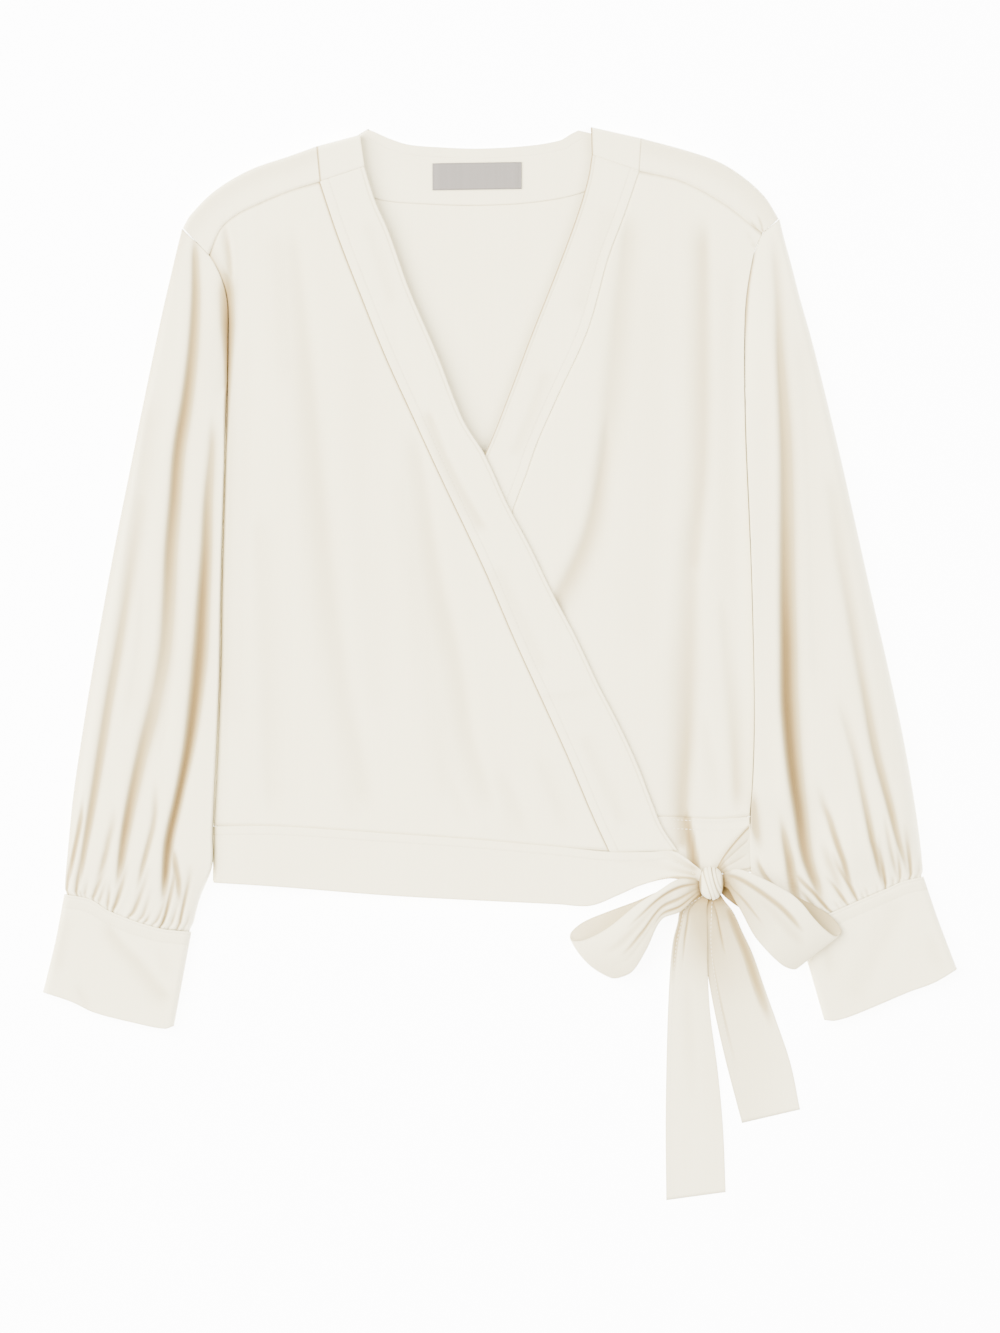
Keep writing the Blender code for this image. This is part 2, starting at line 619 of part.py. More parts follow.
def underside(width, edge, lift, corner):
    """The flat lower run of a tube's profile, from its inner edge back to its outer edge."""
    run = [Vector((width - edge, lift)), Vector((width - corner, 0))]
    run += [Vector((width * share, 0)) for share in UNDERSIDE]
    return run + [Vector((corner, 0)), Vector((edge, lift))]


def gather_depth(gathers, column, climb):
    """Depth of the gathers' ripple at a column, at a distance up the sleeve from the cuff seam."""
    gather = gathers[min((column - 1) // 2, len(gathers) - 1)]
    share = 1.0 if column % 2 == 0 else -0.25
    return gather.deep * share * smooth(-6, 6, climb) * max(1 - climb / gather.long, 0.0) ** 1.5


def sleeve_solid(sleeve):
    marks = [0.0]
    for gather in sleeve.gathers:
        marks += [(marks[-1] + gather.across) / 2, gather.across]
    marks += [(marks[-1] + 1) / 2, 1.0]
    outer_side, first = [0.0, 0.6, 2.2], 5.0
    inner_side, last = [TAIL + 0.7, TAIL, 0.6, 0.0], TAIL + 3.0
    armhole = [sleeve.sections[0].at(fraction) for fraction in even(40)]
    outline = Curve(*(line.points[0] for line in sleeve.sections))
    upper_half, under_half = [], []
    for place in RINGS:
        line = section(sleeve, place)
        width = line.length
        whole = min(int(place), len(sleeve.sections) - 2)
        t = outline.marks[whole] + (outline.marks[whole + 1] - outline.marks[whole]) * (place - whole)
        distances = outer_side + [first + (width - first - last) * mark for mark in marks]
        distances += [width - distance for distance in inner_side]
        upper = []
        for index, across in enumerate(distances):
            point = line.at(across / width)
            reach = min((point - seam).length for seam in armhole) if place else 0.0
            height = sleeve_height(sleeve, point, across, width, t, reach)
            column = index - len(outer_side)
            if 0 < column < len(marks) - 1:
                ripple = gather_depth(sleeve.gathers, column, (1 - t) * outline.length)
                height = max(height - ripple, TAIL_TOP + 0.8)
            upper.append(Vector((across, height)))
        inner_lip = Vector((width, upper[-1].y - SEAM))
        outer_lip = Vector((0, upper[0].y - SEAM))
        under = [inner_lip] + underside(width, 0.6, 0.25, 4.0) + [outer_lip]
        thickness = CLOTH * (STEEP if place < 3 else GENTLE)
        upper_half.append((line.at, width, upper, thickness))
        under_half.append((line.at, width, under, thickness))
    for part, sections in (("upper", upper_half), ("under", under_half)):
        half_tube(f"sleeve_{sleeve.name}_{part}", sections, flip=sleeve.name == "left")


CuffFold = namedtuple("CuffFold", "start end wide deep")
CUFF_FOLDS = {
    "right": (CuffFold((-288, -197), (-243, -262), 7, 0.9), CuffFold((-313, -238), (-303, -254), 5, 0.8)),
    "left": (CuffFold((296, -176), (262, -250), 9, 0.9),),
}


def cuff_height(name, point):
    height = CUFF_TOP
    for fold in CUFF_FOLDS[name]:
        start, end = Vector(fold.start), Vector(fold.end)
        run = end - start
        f = min(max((point - start).dot(run) / run.length_squared, 0.0), 1.0)
        away = (point - start - run * f).length
        height -= fold.deep * math.exp(-(away / fold.wide) ** 2)
    return height


def cuff_solid(sleeve):
    seam = lowered([tuple(point) for point in sleeve.sections[-1].points[1:-1]], 2 * SEAM)
    plan = panel(sleeve.cuff_outer, sleeve.cuff_inner, seam, sleeve.hem)
    edge = CUFF_TOP * 0.45
    near = [0.0, 0.7, 2.4]
    rings = []
    for v in even(4):
        width = (plan(1, v) - plan(0, v)).length
        upper = near + [CUFF_ROUND + (width - 2 * CUFF_ROUND) * f for f in even(12)]
        upper += [width - distance for distance in near[::-1]]
        profile = []
        for across in upper:
            height = cuff_height(sleeve.name, plan(across / width, v))
            round_off = rise(across, CUFF_ROUND) * rise(width - across, CUFF_ROUND)
            profile.append(Vector((across, edge + (height - edge) * round_off)))
        profile += underside(width, 0.7, 0.7, 3.0)
        rings.append((lambda u, v=v: plan(u, v), width, profile, DOUBLE))
    tube("cuff_" + sleeve.name, rings, flip=sleeve.name == "left")


# --- tie belt: strips given by their two edges and the height of their middle surface ---
# arch lifts a row's middle, bulge moves it sideways in plan, to the right of the way from a to b
StripRow = namedtuple("StripRow", "ax ay bx by z arch bulge", defaults=(0.0,))
LOOP_RIGHT = (
    StripRow(146.5, -165.4, 146.8, -170.8, 17.0, 0.0),
    StripRow(131, -163.5, 132, -182, 17.5, 0.8),
    StripRow(118, -169, 119, -189, 18.0, 1.5),
    StripRow(101, -178, 108, -211, 17.0, 2.0),
    StripRow(80, -195, 98, -227, 13.5, 2.0),
    StripRow(63, -204.0, 88, -232, 9.0, 1.0, 2.0),
    StripRow(53, -204.5, 82, -232, 5.0, 0.0, 4.0),
    StripRow(52.5, -199, 83, -230, 1.6, 0.0, 3.0),
    StripRow(62, -191, 92, -221, 0.7, 0.0),
    StripRow(81, -183, 103, -205, 0.7, 0.0),
    StripRow(101, -175.5, 114, -193, 2.4, 0.0),
    StripRow(118, -168, 123, -184, 6.5, 0.0),
    StripRow(132, -163.5, 134, -177, 11.5, 0.0),
    StripRow(146.4, -166.5, 146.7, -170.3, 14.2, 0.0),
)
LOOP_LEFT = (
    StripRow(166.4, -158.5, 167.2, -164.0, 17.2, 0.0),
    StripRow(176, -153.5, 173, -175, 19.0, 0.5),
    StripRow(193, -158, 178.5, -184, 21.0, 1.0),
    StripRow(214, -169.5, 187, -200, 21.5, 1.6),
    StripRow(223, -177.5, 196, -211, 21.5, 1.6),
    StripRow(231, -187.5, 203.5, -218.5, 20.5, 1.2),
    StripRow(241, -196, 210, -223.5, 18.5, 0.6),
    StripRow(250, -199.5, 217.5, -225.5, 15.0, 0.0),
    StripRow(250.5, -195, 222, -221.5, 12.0, 0.0),
    StripRow(246.5, -190.5, 221, -213, 11.2, 0.0),
    StripRow(238, -184.5, 213, -205, 11.0, 0.0),
    StripRow(221, -175.5, 203, -196, 11.0, 0.0),
    StripRow(205, -167, 192, -185, 11.2, 0.0),
    StripRow(190, -159.5, 181, -176, 12.0, 0.0),
    StripRow(177, -156.5, 174, -171, 13.2, 0.0),
    StripRow(166.6, -160.0, 167.0, -164.5, 14.2, 0.0),
)
TAIL_RIGHT = (
    StripRow(146.6, -172.1, 151.2, -173.5, 14.4, 0.0),
    StripRow(137.0, -182, 150.5, -180, 12.5, 0.4),
    StripRow(132.2, -192, 151.8, -188, 9.6, 0.8),
    StripRow(129, -206, 151.4, -206, 5.2, 0.8),
    StripRow(125.5, -229, 152.6, -228, 1.9, 0.3),
    StripRow(124, -262, 156, -261, 0.75, 0.0),
    StripRow(123, -302, 161, -300, 0.7, 0.0),
    StripRow(122.5, -345, 165, -343, 0.7, 0.0),
    StripRow(123, -397.1, 167, -391.1, 0.7, 0.0),
)
TAIL_LEFT = (
    StripRow(153.0, -176.0, 163.2, -173.4, 15.0, 0.0),
    StripRow(153.2, -186, 172.5, -184, 12.0, 0.8),
    StripRow(153.5, -197, 179, -198, 9.0, 1.0),
    StripRow(154.2, -212, 187, -215, 5.0, 1.0),
    StripRow(156.2, -238, 195.8, -240, 1.9, 0.4),
    StripRow(159.6, -262, 204, -263, 0.75, 0.0),
    StripRow(167.4, -296, 215, -296, 0.7, 0.0),
    StripRow(179, -340, 222, -330, 0.7, 0.0),
)
STRAP_LEFT = (
    StripRow(185.6, -118, 185.9, -149, 4.2, 0.0),
    StripRow(185.4, -119, 185.9, -150, 7.0, 0.0),
    StripRow(182.0, -121, 184.0, -151.5, 8.8, 0.0),
    StripRow(172.5, -132, 176.5, -153, 10.6, 0.3),
    StripRow(165.5, -141.5, 170.0, -154.5, 12.8, 0.3),
    StripRow(160.6, -148.2, 165.8, -154.5, 14.4, 0.0),
)


def strip(name, table, each, across=4):
    """A belt strip as a smooth ribbon through its rows, each sampled the given number of times."""
    edge_a = Curve(*((row.ax, row.ay, row.z) for row in table))
    edge_b = Curve(*((row.bx, row.by, row.z) for row in table))
    rows = []
    for index in range(len(table) - 1):
        row_0, row_1 = table[index], table[index + 1]
        for part in range(each + (1 if index == len(table) - 2 else 0)):
            f = part / each
            a = edge_a.at(edge_a.marks[index] + (edge_a.marks[index + 1] - edge_a.marks[index]) * f)
            b = edge_b.at(edge_b.marks[index] + (edge_b.marks[index + 1] - edge_b.marks[index]) * f)
            arch = row_0.arch + (row_1.arch - row_0.arch) * f
            bulge = row_0.bulge + (row_1.bulge - row_0.bulge) * f
            run = (b - a).normalized()
            row = []
            for w in even(across):
                point = a.lerp(b, w)
                middle = 1 - (2 * w - 1) ** 2
                x, y = point.x + run.y * bulge * middle, point.y - run.x * bulge * middle
                row.append((x, y, max(point.z + arch * middle, TIE / 2)))
            rows.append(row)
    wall(name, [rows], TIE, offset=0.0)


def knot():
    """The belt wound round itself, a solid wad of cloth that the loops, tails and belt ends come out of."""
    centre, half = Vector(KNOT_CENTRE), Vector(KNOT_HALF)
    rows = []
    for step in even(6):
        along = 2 * step - 1
        girth = math.sqrt(1 - 0.8 * along * along)
        row = []
        for turn in even(16)[:-1]:
            angle = 2 * math.pi * turn
            lean = KNOT_LEAN * math.sin(angle) * girth
            row.append((
                centre.x + half.x * (along + lean),
                centre.y + half.y * girth * math.sin(angle),
                centre.z + half.z * girth * math.cos(angle),
            ))
        rows.append(row)
    shape = bmesh.new()
    made = {}
    add_grid(shape, made, rows, ring=True)
    shape.verts.ensure_lookup_table()
    shape.faces.new(shape.verts[:16])
    shape.faces.new(shape.verts[-16:][::-1])
    bmesh.ops.recalc_face_normals(shape, faces=shape.faces)
    add_piece("bow_knot", shape, IVORY)


def label():
    """Plain woven label on the inside of the back neckband."""
    low = DOUBLE + SEAM
    rows = [
        [(-50, 370, low + LABEL_WALL), (-17, 370.7, low + LABEL_WALL), (16, 371, low + LABEL_WALL)],
        [(-50, 350, low + LABEL_WALL), (-17, 350.7, low + LABEL_WALL), (16, 351, low + LABEL_WALL)],
    ]
    wall("neck_label", [rows], LABEL_WALL, colour=GREY)


def build():
    for old in list(bpy.data.objects):
        bpy.data.objects.remove(old)
    back()
    fronts()
    neckbands()
    waistbands()
    for sleeve in SLEEVES:
        sleeve_solid(sleeve)
        cuff_solid(sleeve)
    strip("bow_loop_right", LOOP_RIGHT, 2)
    strip("bow_loop_left", LOOP_LEFT, 2)
    strip("bow_tail_right", TAIL_RIGHT, 2)
    strip("bow_tail_left", TAIL_LEFT, 2)
    strip("tie_strap_left", STRAP_LEFT, 1)
    knot()
    label()


build()
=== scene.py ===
"""Wrap top of ivory crepe, laid flat and face up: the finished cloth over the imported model.

Tables hold millimetres in the model's own frame. add_cloth() and add_stitches() scale them to metres.
"""
import math
from collections import namedtuple

import bpy
import numpy as np
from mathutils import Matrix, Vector, noise


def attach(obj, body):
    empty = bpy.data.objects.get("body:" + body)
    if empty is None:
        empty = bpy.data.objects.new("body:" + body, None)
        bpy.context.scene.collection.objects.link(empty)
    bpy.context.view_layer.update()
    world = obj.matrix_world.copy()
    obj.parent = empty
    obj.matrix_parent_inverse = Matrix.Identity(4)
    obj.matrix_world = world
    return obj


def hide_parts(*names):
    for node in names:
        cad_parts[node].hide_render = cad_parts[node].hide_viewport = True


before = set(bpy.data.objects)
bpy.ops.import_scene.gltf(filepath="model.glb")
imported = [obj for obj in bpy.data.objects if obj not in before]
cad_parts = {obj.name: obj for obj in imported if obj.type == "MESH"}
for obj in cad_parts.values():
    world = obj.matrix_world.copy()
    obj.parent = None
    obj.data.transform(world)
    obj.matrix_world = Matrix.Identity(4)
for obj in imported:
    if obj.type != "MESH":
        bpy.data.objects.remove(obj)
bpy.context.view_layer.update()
MM = 0.001

# --- Table, light and camera ---
# The top lies on a white table. One broad soft light hangs high on the wearer's right, and a weaker one on
# the left fills the shade. The lens is long and looks straight down.
TABLE_WHITE = (0.86, 0.89, 0.98, 1.0)
TABLE_GLOW = 8.0             # the table gives off light itself, so that no shadow stays on it
TABLE_HALF = 4.0             # metres from its middle to a side
TABLE_DROP = 0.0004          # how far its face lies under the cloth, in metres
WARM_WHITE = (1.0, 0.965, 0.88)
SKY_STRENGTH = 1.6
VIEW_CENTRE = (0.0, -0.0022)
VIEW_TALL = 0.9864           # metres that the picture takes in from top to bottom
LENS = 200.0

table_mesh = bpy.data.meshes.new("table")
table_corners = [(x * TABLE_HALF, y * TABLE_HALF, 0) for x, y in ((-1, -1), (1, -1), (1, 1), (-1, 1))]
table_mesh.from_pydata(table_corners, [], [(0, 1, 2, 3)])
table = bpy.data.objects.new("table", table_mesh)
table.location.z = -TABLE_DROP
bpy.context.scene.collection.objects.link(table)
table_paint = bpy.data.materials.new("white_table")
table_paint.use_nodes = True
paint = table_paint.node_tree.nodes["Principled BSDF"]
paint.inputs["Base Color"].default_value = TABLE_WHITE
paint.inputs["Roughness"].default_value = 0.9
paint.inputs["Emission Color"].default_value = (1.0, 1.0, 1.0, 1.0)
paint.inputs["Emission Strength"].default_value = TABLE_GLOW
table_mesh.materials.append(table_paint)

sky = bpy.data.worlds.new("studio")
sky.use_nodes = True
sky_light = sky.node_tree.nodes["Background"]
sky_light.inputs["Color"].default_value = (*WARM_WHITE, 1.0)
sky_light.inputs["Strength"].default_value = SKY_STRENGTH
bpy.context.scene.world = sky


def add_softbox(name, place, size, power):
    """A square area light that looks at the middle of the top. Metres and watts."""
    lamp = bpy.data.lights.new(name, "AREA")
    lamp.shape = "SQUARE"
    lamp.size = size
    lamp.energy = power
    lamp.color = WARM_WHITE
    box = bpy.data.objects.new(name, lamp)
    box.location = place
    box.rotation_mode = "QUATERNION"
    box.rotation_quaternion = Vector(place).to_track_quat("Z", "Y")
    bpy.context.scene.collection.objects.link(box)


add_softbox("soft_key", (-2.8, 0.6, 3.3), size=4.6, power=1200)
add_softbox("soft_fill", (2.4, 0.2, 2.8), size=2.6, power=250)

lens = bpy.data.cameras.new("camera")
lens.lens = LENS
lens.clip_start, lens.clip_end = 0.1, 50.0
camera = bpy.data.objects.new("camera", lens)
camera.location = (*VIEW_CENTRE, VIEW_TALL / 2 * LENS / (lens.sensor_width / 2))
bpy.context.scene.collection.objects.link(camera)
bpy.context.scene.camera = camera

# --- Crepe ---
# Light woven crepe in ivory: matt, with a fine pebbled grain, faint streaks along the warp and a
# slightly uneven tone. Painted shade darkens and warms it in its folds, standing in for the shade there
# and for the warm light that passes through two layers.
CREPE_PALE = (0.86, 0.813, 0.612, 1.0)
CREPE_FULL = (0.805, 0.743, 0.529, 1.0)
# Painted shade, set by the point attribute fold in creases and along seams and edges.
PAINTED_CREASE_SHADE = (             # what the cloth's colour is multiplied by, from no crease to the deepest one
    (0.0, (1.0, 1.0, 1.0, 1.0)),
    (0.25, (0.57, 0.51, 0.405, 1.0)),
    (0.5, (0.43, 0.35, 0.23, 1.0)),
    (0.75, (0.33, 0.245, 0.135, 1.0)),
    (1.0, (0.24, 0.17, 0.078, 1.0)),
)

weave = bpy.data.node_groups.new("weave", "ShaderNodeTree")
for in_out, labels in (("INPUT", ("Pebble", "Thread")), ("OUTPUT", ("Height", "Tone"))):
    for label in labels:
        weave.interface.new_socket(label, in_out=in_out, socket_type="NodeSocketFloat")
weave_in, weave_out = weave.nodes.new("NodeGroupInput"), weave.nodes.new("NodeGroupOutput")


def feed(socket, value):
    """Gives an input a plain value, or links it to another node's output."""
    if isinstance(value, bpy.types.NodeSocket):
        socket.id_data.links.new(value, socket)
    else:
        socket.default_value = value


def calculate(operation, first, second):
    """The result of a math node in the weave. Each input is a number or a socket."""
    node = weave.nodes.new("ShaderNodeMath")
    node.operation = operation
    feed(node.inputs[0], first)
    feed(node.inputs[1], second)
    return node.outputs[0]


def stretched(scale):
    """The piece's own coordinates, scaled along each axis."""
    place = weave.nodes.new("ShaderNodeTexCoord")
    mapping = weave.nodes.new("ShaderNodeMapping")
    mapping.inputs["Scale"].default_value = scale
    feed(mapping.inputs["Vector"], place.outputs["Object"])
    return mapping.outputs["Vector"]


def speckle(vector, scale, detail):
    """Noise over a vector, from 0 to 1."""
    node = weave.nodes.new("ShaderNodeTexNoise")
    for label, value in (("Detail", detail), ("Scale", scale), ("Vector", vector)):
        feed(node.inputs[label], value)
    return node.outputs["Fac"]


def threads(direction):
    """Parallel threads, slightly wavy, from 0 to 1."""
    node = weave.nodes.new("ShaderNodeTexWave")
    node.bands_direction = direction
    for label, value in (("Distortion", 2.5), ("Detail", 1.0), ("Scale", weave_in.outputs["Thread"]),
                         ("Vector", even_space)):
        feed(node.inputs[label], value)
    return node.outputs["Fac"]


even_space = stretched((1, 1, 1))
pebble = speckle(even_space, weave_in.outputs["Pebble"], 3.0)
crossed = calculate("MULTIPLY", calculate("ADD", threads("X"), threads("Y")), 0.25)
feed(weave_out.inputs["Height"], calculate("ADD", calculate("MULTIPLY", pebble, 0.8), crossed))
mottle = speckle(even_space, 13.0, 2.0)
streak = speckle(stretched((420, 7, 60)), 1.0, 2.0)
feed(weave_out.inputs["Tone"], calculate("MULTIPLY", calculate("ADD", mottle, streak), 0.5))


def mixed(tree, blend, share, first, second):
    """A colour made of two by a share. Each input is a value or a socket."""
    # on this node the share is input 0, the two colours are inputs 6 and 7, and the result is output 2
    node = tree.nodes.new("ShaderNodeMix")
    node.data_type = "RGBA"
    node.blend_type = blend
    for index, value in ((0, share), (6, first), (7, second)):
        feed(node.inputs[index], value)
    return node.outputs[2]


def woven(name, pale, full, pebble_scale, thread_scale, relief, roughness):
    """A woven cloth. The point attribute fold, 0 to 1, paints shade on it, darker and warmer in its creases.

    pebble_scale and thread_scale say how fine its grain and its threads are, and relief how high they
    stand, in metres.
    """
    made = bpy.data.materials.new(name)
    made.use_nodes = True
    tree = made.node_tree
    shader = tree.nodes["Principled BSDF"]
    cloth = tree.nodes.new("ShaderNodeGroup")
    cloth.node_tree = weave
    cloth.inputs["Pebble"].default_value = pebble_scale
    cloth.inputs["Thread"].default_value = thread_scale
    fold = tree.nodes.new("ShaderNodeAttribute")
    fold.attribute_name = "fold"
    # painted shade: a ramp from the attribute fold that darkens and warms the cloth's colour
    painted_shade_ramp = tree.nodes.new("ShaderNodeValToRGB")
    ramp = painted_shade_ramp.color_ramp.elements
    ramp[0].color, ramp[1].color = PAINTED_CREASE_SHADE[0][1], PAINTED_CREASE_SHADE[-1][1]
    for place, colour in PAINTED_CREASE_SHADE[1:-1]:
        ramp.new(place).color = colour
    feed(painted_shade_ramp.inputs["Fac"], fold.outputs["Fac"])
    toned = mixed(tree, "MIX", cloth.outputs["Tone"], pale, full)
    bump = tree.nodes.new("ShaderNodeBump")
    for label, value in (("Strength", 0.5), ("Distance", relief), ("Height", cloth.outputs["Height"])):
        feed(bump.inputs[label], value)
    for label, value in (("Base Color", mixed(tree, "MULTIPLY", 1.0, toned, painted_shade_ramp.outputs["Color"])),
                         ("Normal", bump.outputs["Normal"]), ("Roughness", roughness),
                         ("Specular IOR Level", 0.25), ("Sheen Weight", 0.12), ("Sheen Roughness", 0.5)):
        feed(shader.inputs[label], value)
    return made


crepe = woven("ivory_crepe", CREPE_PALE, CREPE_FULL, pebble_scale=1300.0, thread_scale=700.0,
              relief=0.00012, roughness=0.82)

# --- Back panel ---
# One layer of crepe under everything, seen through the neck opening and from behind. It is cut in one
# with the forward shoulders, which turn over the top and are sewn to the fronts some way down the chest.
CLOTH = 0.6           # one layer of crepe with its own loft
UNDER = 7.2           # height of the wearer's left front, which lies underneath
OVER = 9.6            # height of the wearer's right front, which crosses over it
SHOULDER_ROUND = 4.5  # how far the fold over the shoulder rolls in
LAP = 1.0             # how far a panel runs on under the band or flap that covers its seam
PROUD = 0.4           # how far the upper band stands above the panel it is sewn to
TURN_ROWS = 15        # rows of points round a fold on the shoulder
FLAP_ROWS = 15        # rows from there to the forward seam
FLAP_WIDE = 100.0     # about how far each row runs along a shoulder
NECK_COLUMNS = 64     # columns of points in the back, between its two shoulders
BACK_LONG = 440.0     # about how far its columns run
STITCH_PITCH, STITCH_LONG = 3.1, 2.3    # from one stitch to the next, and how long a stitch is
FLAP_STITCH = 1.8     # topstitching on a forward shoulder, in from its seam


def eased(start, end, leave, arrive, f):
    """From start to end by the share f, leaving and arriving at two slopes."""
    return (start * (1 + 2 * f) * (1 - f) ** 2 + end * f * f * (3 - 2 * f)
            + leave * f * (1 - f) ** 2 - arrive * f * f * (1 - f))


class Line:
    """Smooth line through a few plan points, read by fractions of its length."""

    def __init__(self, *points):
        self.points = np.array(points, float)
        steps = np.linalg.norm(np.diff(self.points, axis=0), axis=1)
        self.length = steps.sum()
        self.marks = np.concatenate([[0.0], np.cumsum(steps)]) / self.length
        before = np.maximum(np.arange(len(points)) - 1, 0)
        after = np.minimum(np.arange(len(points)) + 1, len(points) - 1)
        change = self.points[after] - self.points[before]
        self.slopes = change / (self.marks[after] - self.marks[before])[:, None]

    def at(self, fractions):
        """Points at fractions of the length, with an even slope from each given point to the next."""
        f = np.atleast_1d(np.asarray(fractions, float))
        index = np.clip(np.searchsorted(self.marks, f, side="right") - 1, 0, len(self.points) - 2)
        span = (self.marks[index + 1] - self.marks[index])[:, None]
        f = (f[:, None] - self.marks[index][:, None]) / span
        leave, arrive = self.slopes[index] * span, self.slopes[index + 1] * span
        return eased(self.points[index], self.points[index + 1], leave, arrive, f)

    def beside(self, distance):
        """The same line moved sideways, to the left of its direction when distance is positive."""
        run = self.slopes / np.linalg.norm(self.slopes, axis=1)[:, None]
        return Line(*(self.points[:, :2] + np.stack([-run[:, 1], run[:, 0]], axis=1) * distance))


ARMHOLE_R = Line((-234.5, 322), (-225, 312), (-215, 302), (-208, 290), (-203, 276), (-201, 262),
                 (-201, 235), (-201.6, 205))
ARMHOLE_L = Line((206, 329), (194, 318), (190, 309.5), (187, 300), (182, 270), (180.6, 240), (180.6, 205))
SIDE_R = Line((-201.6, 205), (-203.0, 160), (-204.9, 100), (-206.2, 47), (-206.9, 0), (-209.0, -60),
              (-212, -120))
SIDE_L = Line((180.6, 205), (181.7, 160), (184, 110), (186, 60), (188, -36), (186.5, -90), (184.5, -113))
SHOULDER_R = Line((-234.5, 322), (-229, 331.5), (-211, 349.5), (-185, 365), (-155, 375.5), (-135.5, 382.5))
SHOULDER_L = Line((104.5, 388.5), (141, 378.5), (163, 370.5), (181, 359), (196, 345), (206, 329))
FORWARD_R = Line((-215, 302), (-206, 321), (-195, 331), (-179, 339), (-155, 349), (-133, 356))
FORWARD_L = Line((103, 364), (135, 356), (165, 340), (186, 324), (194, 318))
# The back neckband's seam and its folded neck edge, from the right shoulder to the left one.
BandRow = namedtuple("BandRow", "seam neck")
BACK_BAND = (
    BandRow((-131, 374), (-97, 395)),
    BandRow((-125, 366.5), (-90, 392)),
    BandRow((-111, 354), (-82, 388.5)),
    BandRow((-90, 343.5), (-68, 384)),
    BandRow((-54, 340), (-45, 382)),
    BandRow((-16, 339), (-16, 381)),
    BandRow((22, 341), (20, 383)),
    BandRow((56, 347), (44, 387)),
    BandRow((80, 358), (52, 391.5)),
    BandRow((96, 372), (58, 394.5)),
)

# A fold's path runs along its bottom. wide, deep and dark (0 to 1) are one value or several, evenly spaced
# along the path. dark is how much shade is painted along its bottom. lean makes its left side (+) or right
# side (-) the steep one.
Fold = namedtuple("Fold", "path wide deep lean dark", defaults=(0.0,))
BACK_FOLDS = (
    Fold(((-150, 300), (-138, 160), (-128, 20), (-120, -110)), 9, 0.5, 0.4),
    Fold(((-60, 320), (-52, 200), (-58, 60), (-50, -60)), 12, 0.4, -0.4),
    Fold(((40, 310), (48, 190), (52, 40), (70, -100)), 10, 0.5, 0.4),
    Fold(((130, 330), (128, 210), (136, 60), (130, -60)), 8, 0.5, -0.5),
    Fold(((-190, 120), (-176, 20), (-168, -90)), 8, 0.5, 0.5),
)
ARMPIT = Fold(((-202.0, 300), (-201.8, 276), (-201.2, 250), (-200.9, 228), (-201.3, 208), (-202.0, 185),
               (-203.2, 150)),
              (4.6, 5.2, 4.4, 2.8, 2.0, 1.5, 1.2), 0.5, 0.0, (0.3, 0.6, 0.9, 0.8, 0.6, 0.35, 0.1))
OVER_FOLDS = (
    Fold(((-152, 330), (-151, 305), (-144.3, 240.3), (-137.8, 175), (-131.3, 105.4), (-124.7, 44.4),
          (-114, -25.2), (-102.9, -77.3), (-96, -118)), (7, 10, 9), 1.1, 0.4, (0.05, 0.11, 0.11, 0.08, 0.06)),
    Fold(((-66, 180), (-59.4, 149), (-50.7, 87.9), (-44.2, 53), (-31.1, -3.5), (-22.4, -55.7), (-2, -116)),
         (6, 9, 7), 1.5, 0.5, (0.06, 0.11, 0.11, 0.09, 0.05)),
    Fold(((-74, 150), (-66, 90), (-58, 30), (-48, -40), (-34, -110)), 13, 0.5, -0.3, 0.03),
    Fold(((-178, 120), (-176, 76), (-172, 0), (-170, -77), (-166, -118)), (8, 10, 8), 0.6, -0.4, 0.05),
    Fold(((-100, 275), (-101, 200), (-99, 120), (-94, 30), (-90, -50)), 13, 0.6, -0.3, 0.02),
    Fold(((-84, 262), (-74, 236), (-64, 206), (-56, 184)), (5, 7, 5), 0.5, 0.3, (0.08, 0.10, 0.05)),
    Fold(((-166, 330), (-160, 280), (-156, 230), (-152, 190)), (8, 8), 0.4, 0.3, 0.04),
    Fold(((-205, 333), (-203, 323), (-199.5, 300), (-198.6, 278), (-199.6, 255)),
         (2.2, 2.6, 1.6), 1.4, 0.5, 0.22),
    ARMPIT,
    Fold(((-186, 250), (-187, 160), (-190, 60), (-193, -60)), 9, 0.5, 0.3, 0.02),
    Fold(((-8, -70), (8, -96), (22, -136)), 7, 0.6, 0.5, 0.05),
    Fold(((24, -58), (38, -92), (52, -132)), 6, 0.7, -0.4, 0.04),
    Fold(((-176, -60), (-168, -90), (-163, -118)), 6, 0.4, 0.4, 0.03),
    Fold(((-120, -78), (-110, -100), (-104, -122)), 7, 0.4, -0.4, 0.03),
    Fold(((-46, -60), (-34, -92), (-22, -124)), 5, 0.4, 0.4, 0.04),
)
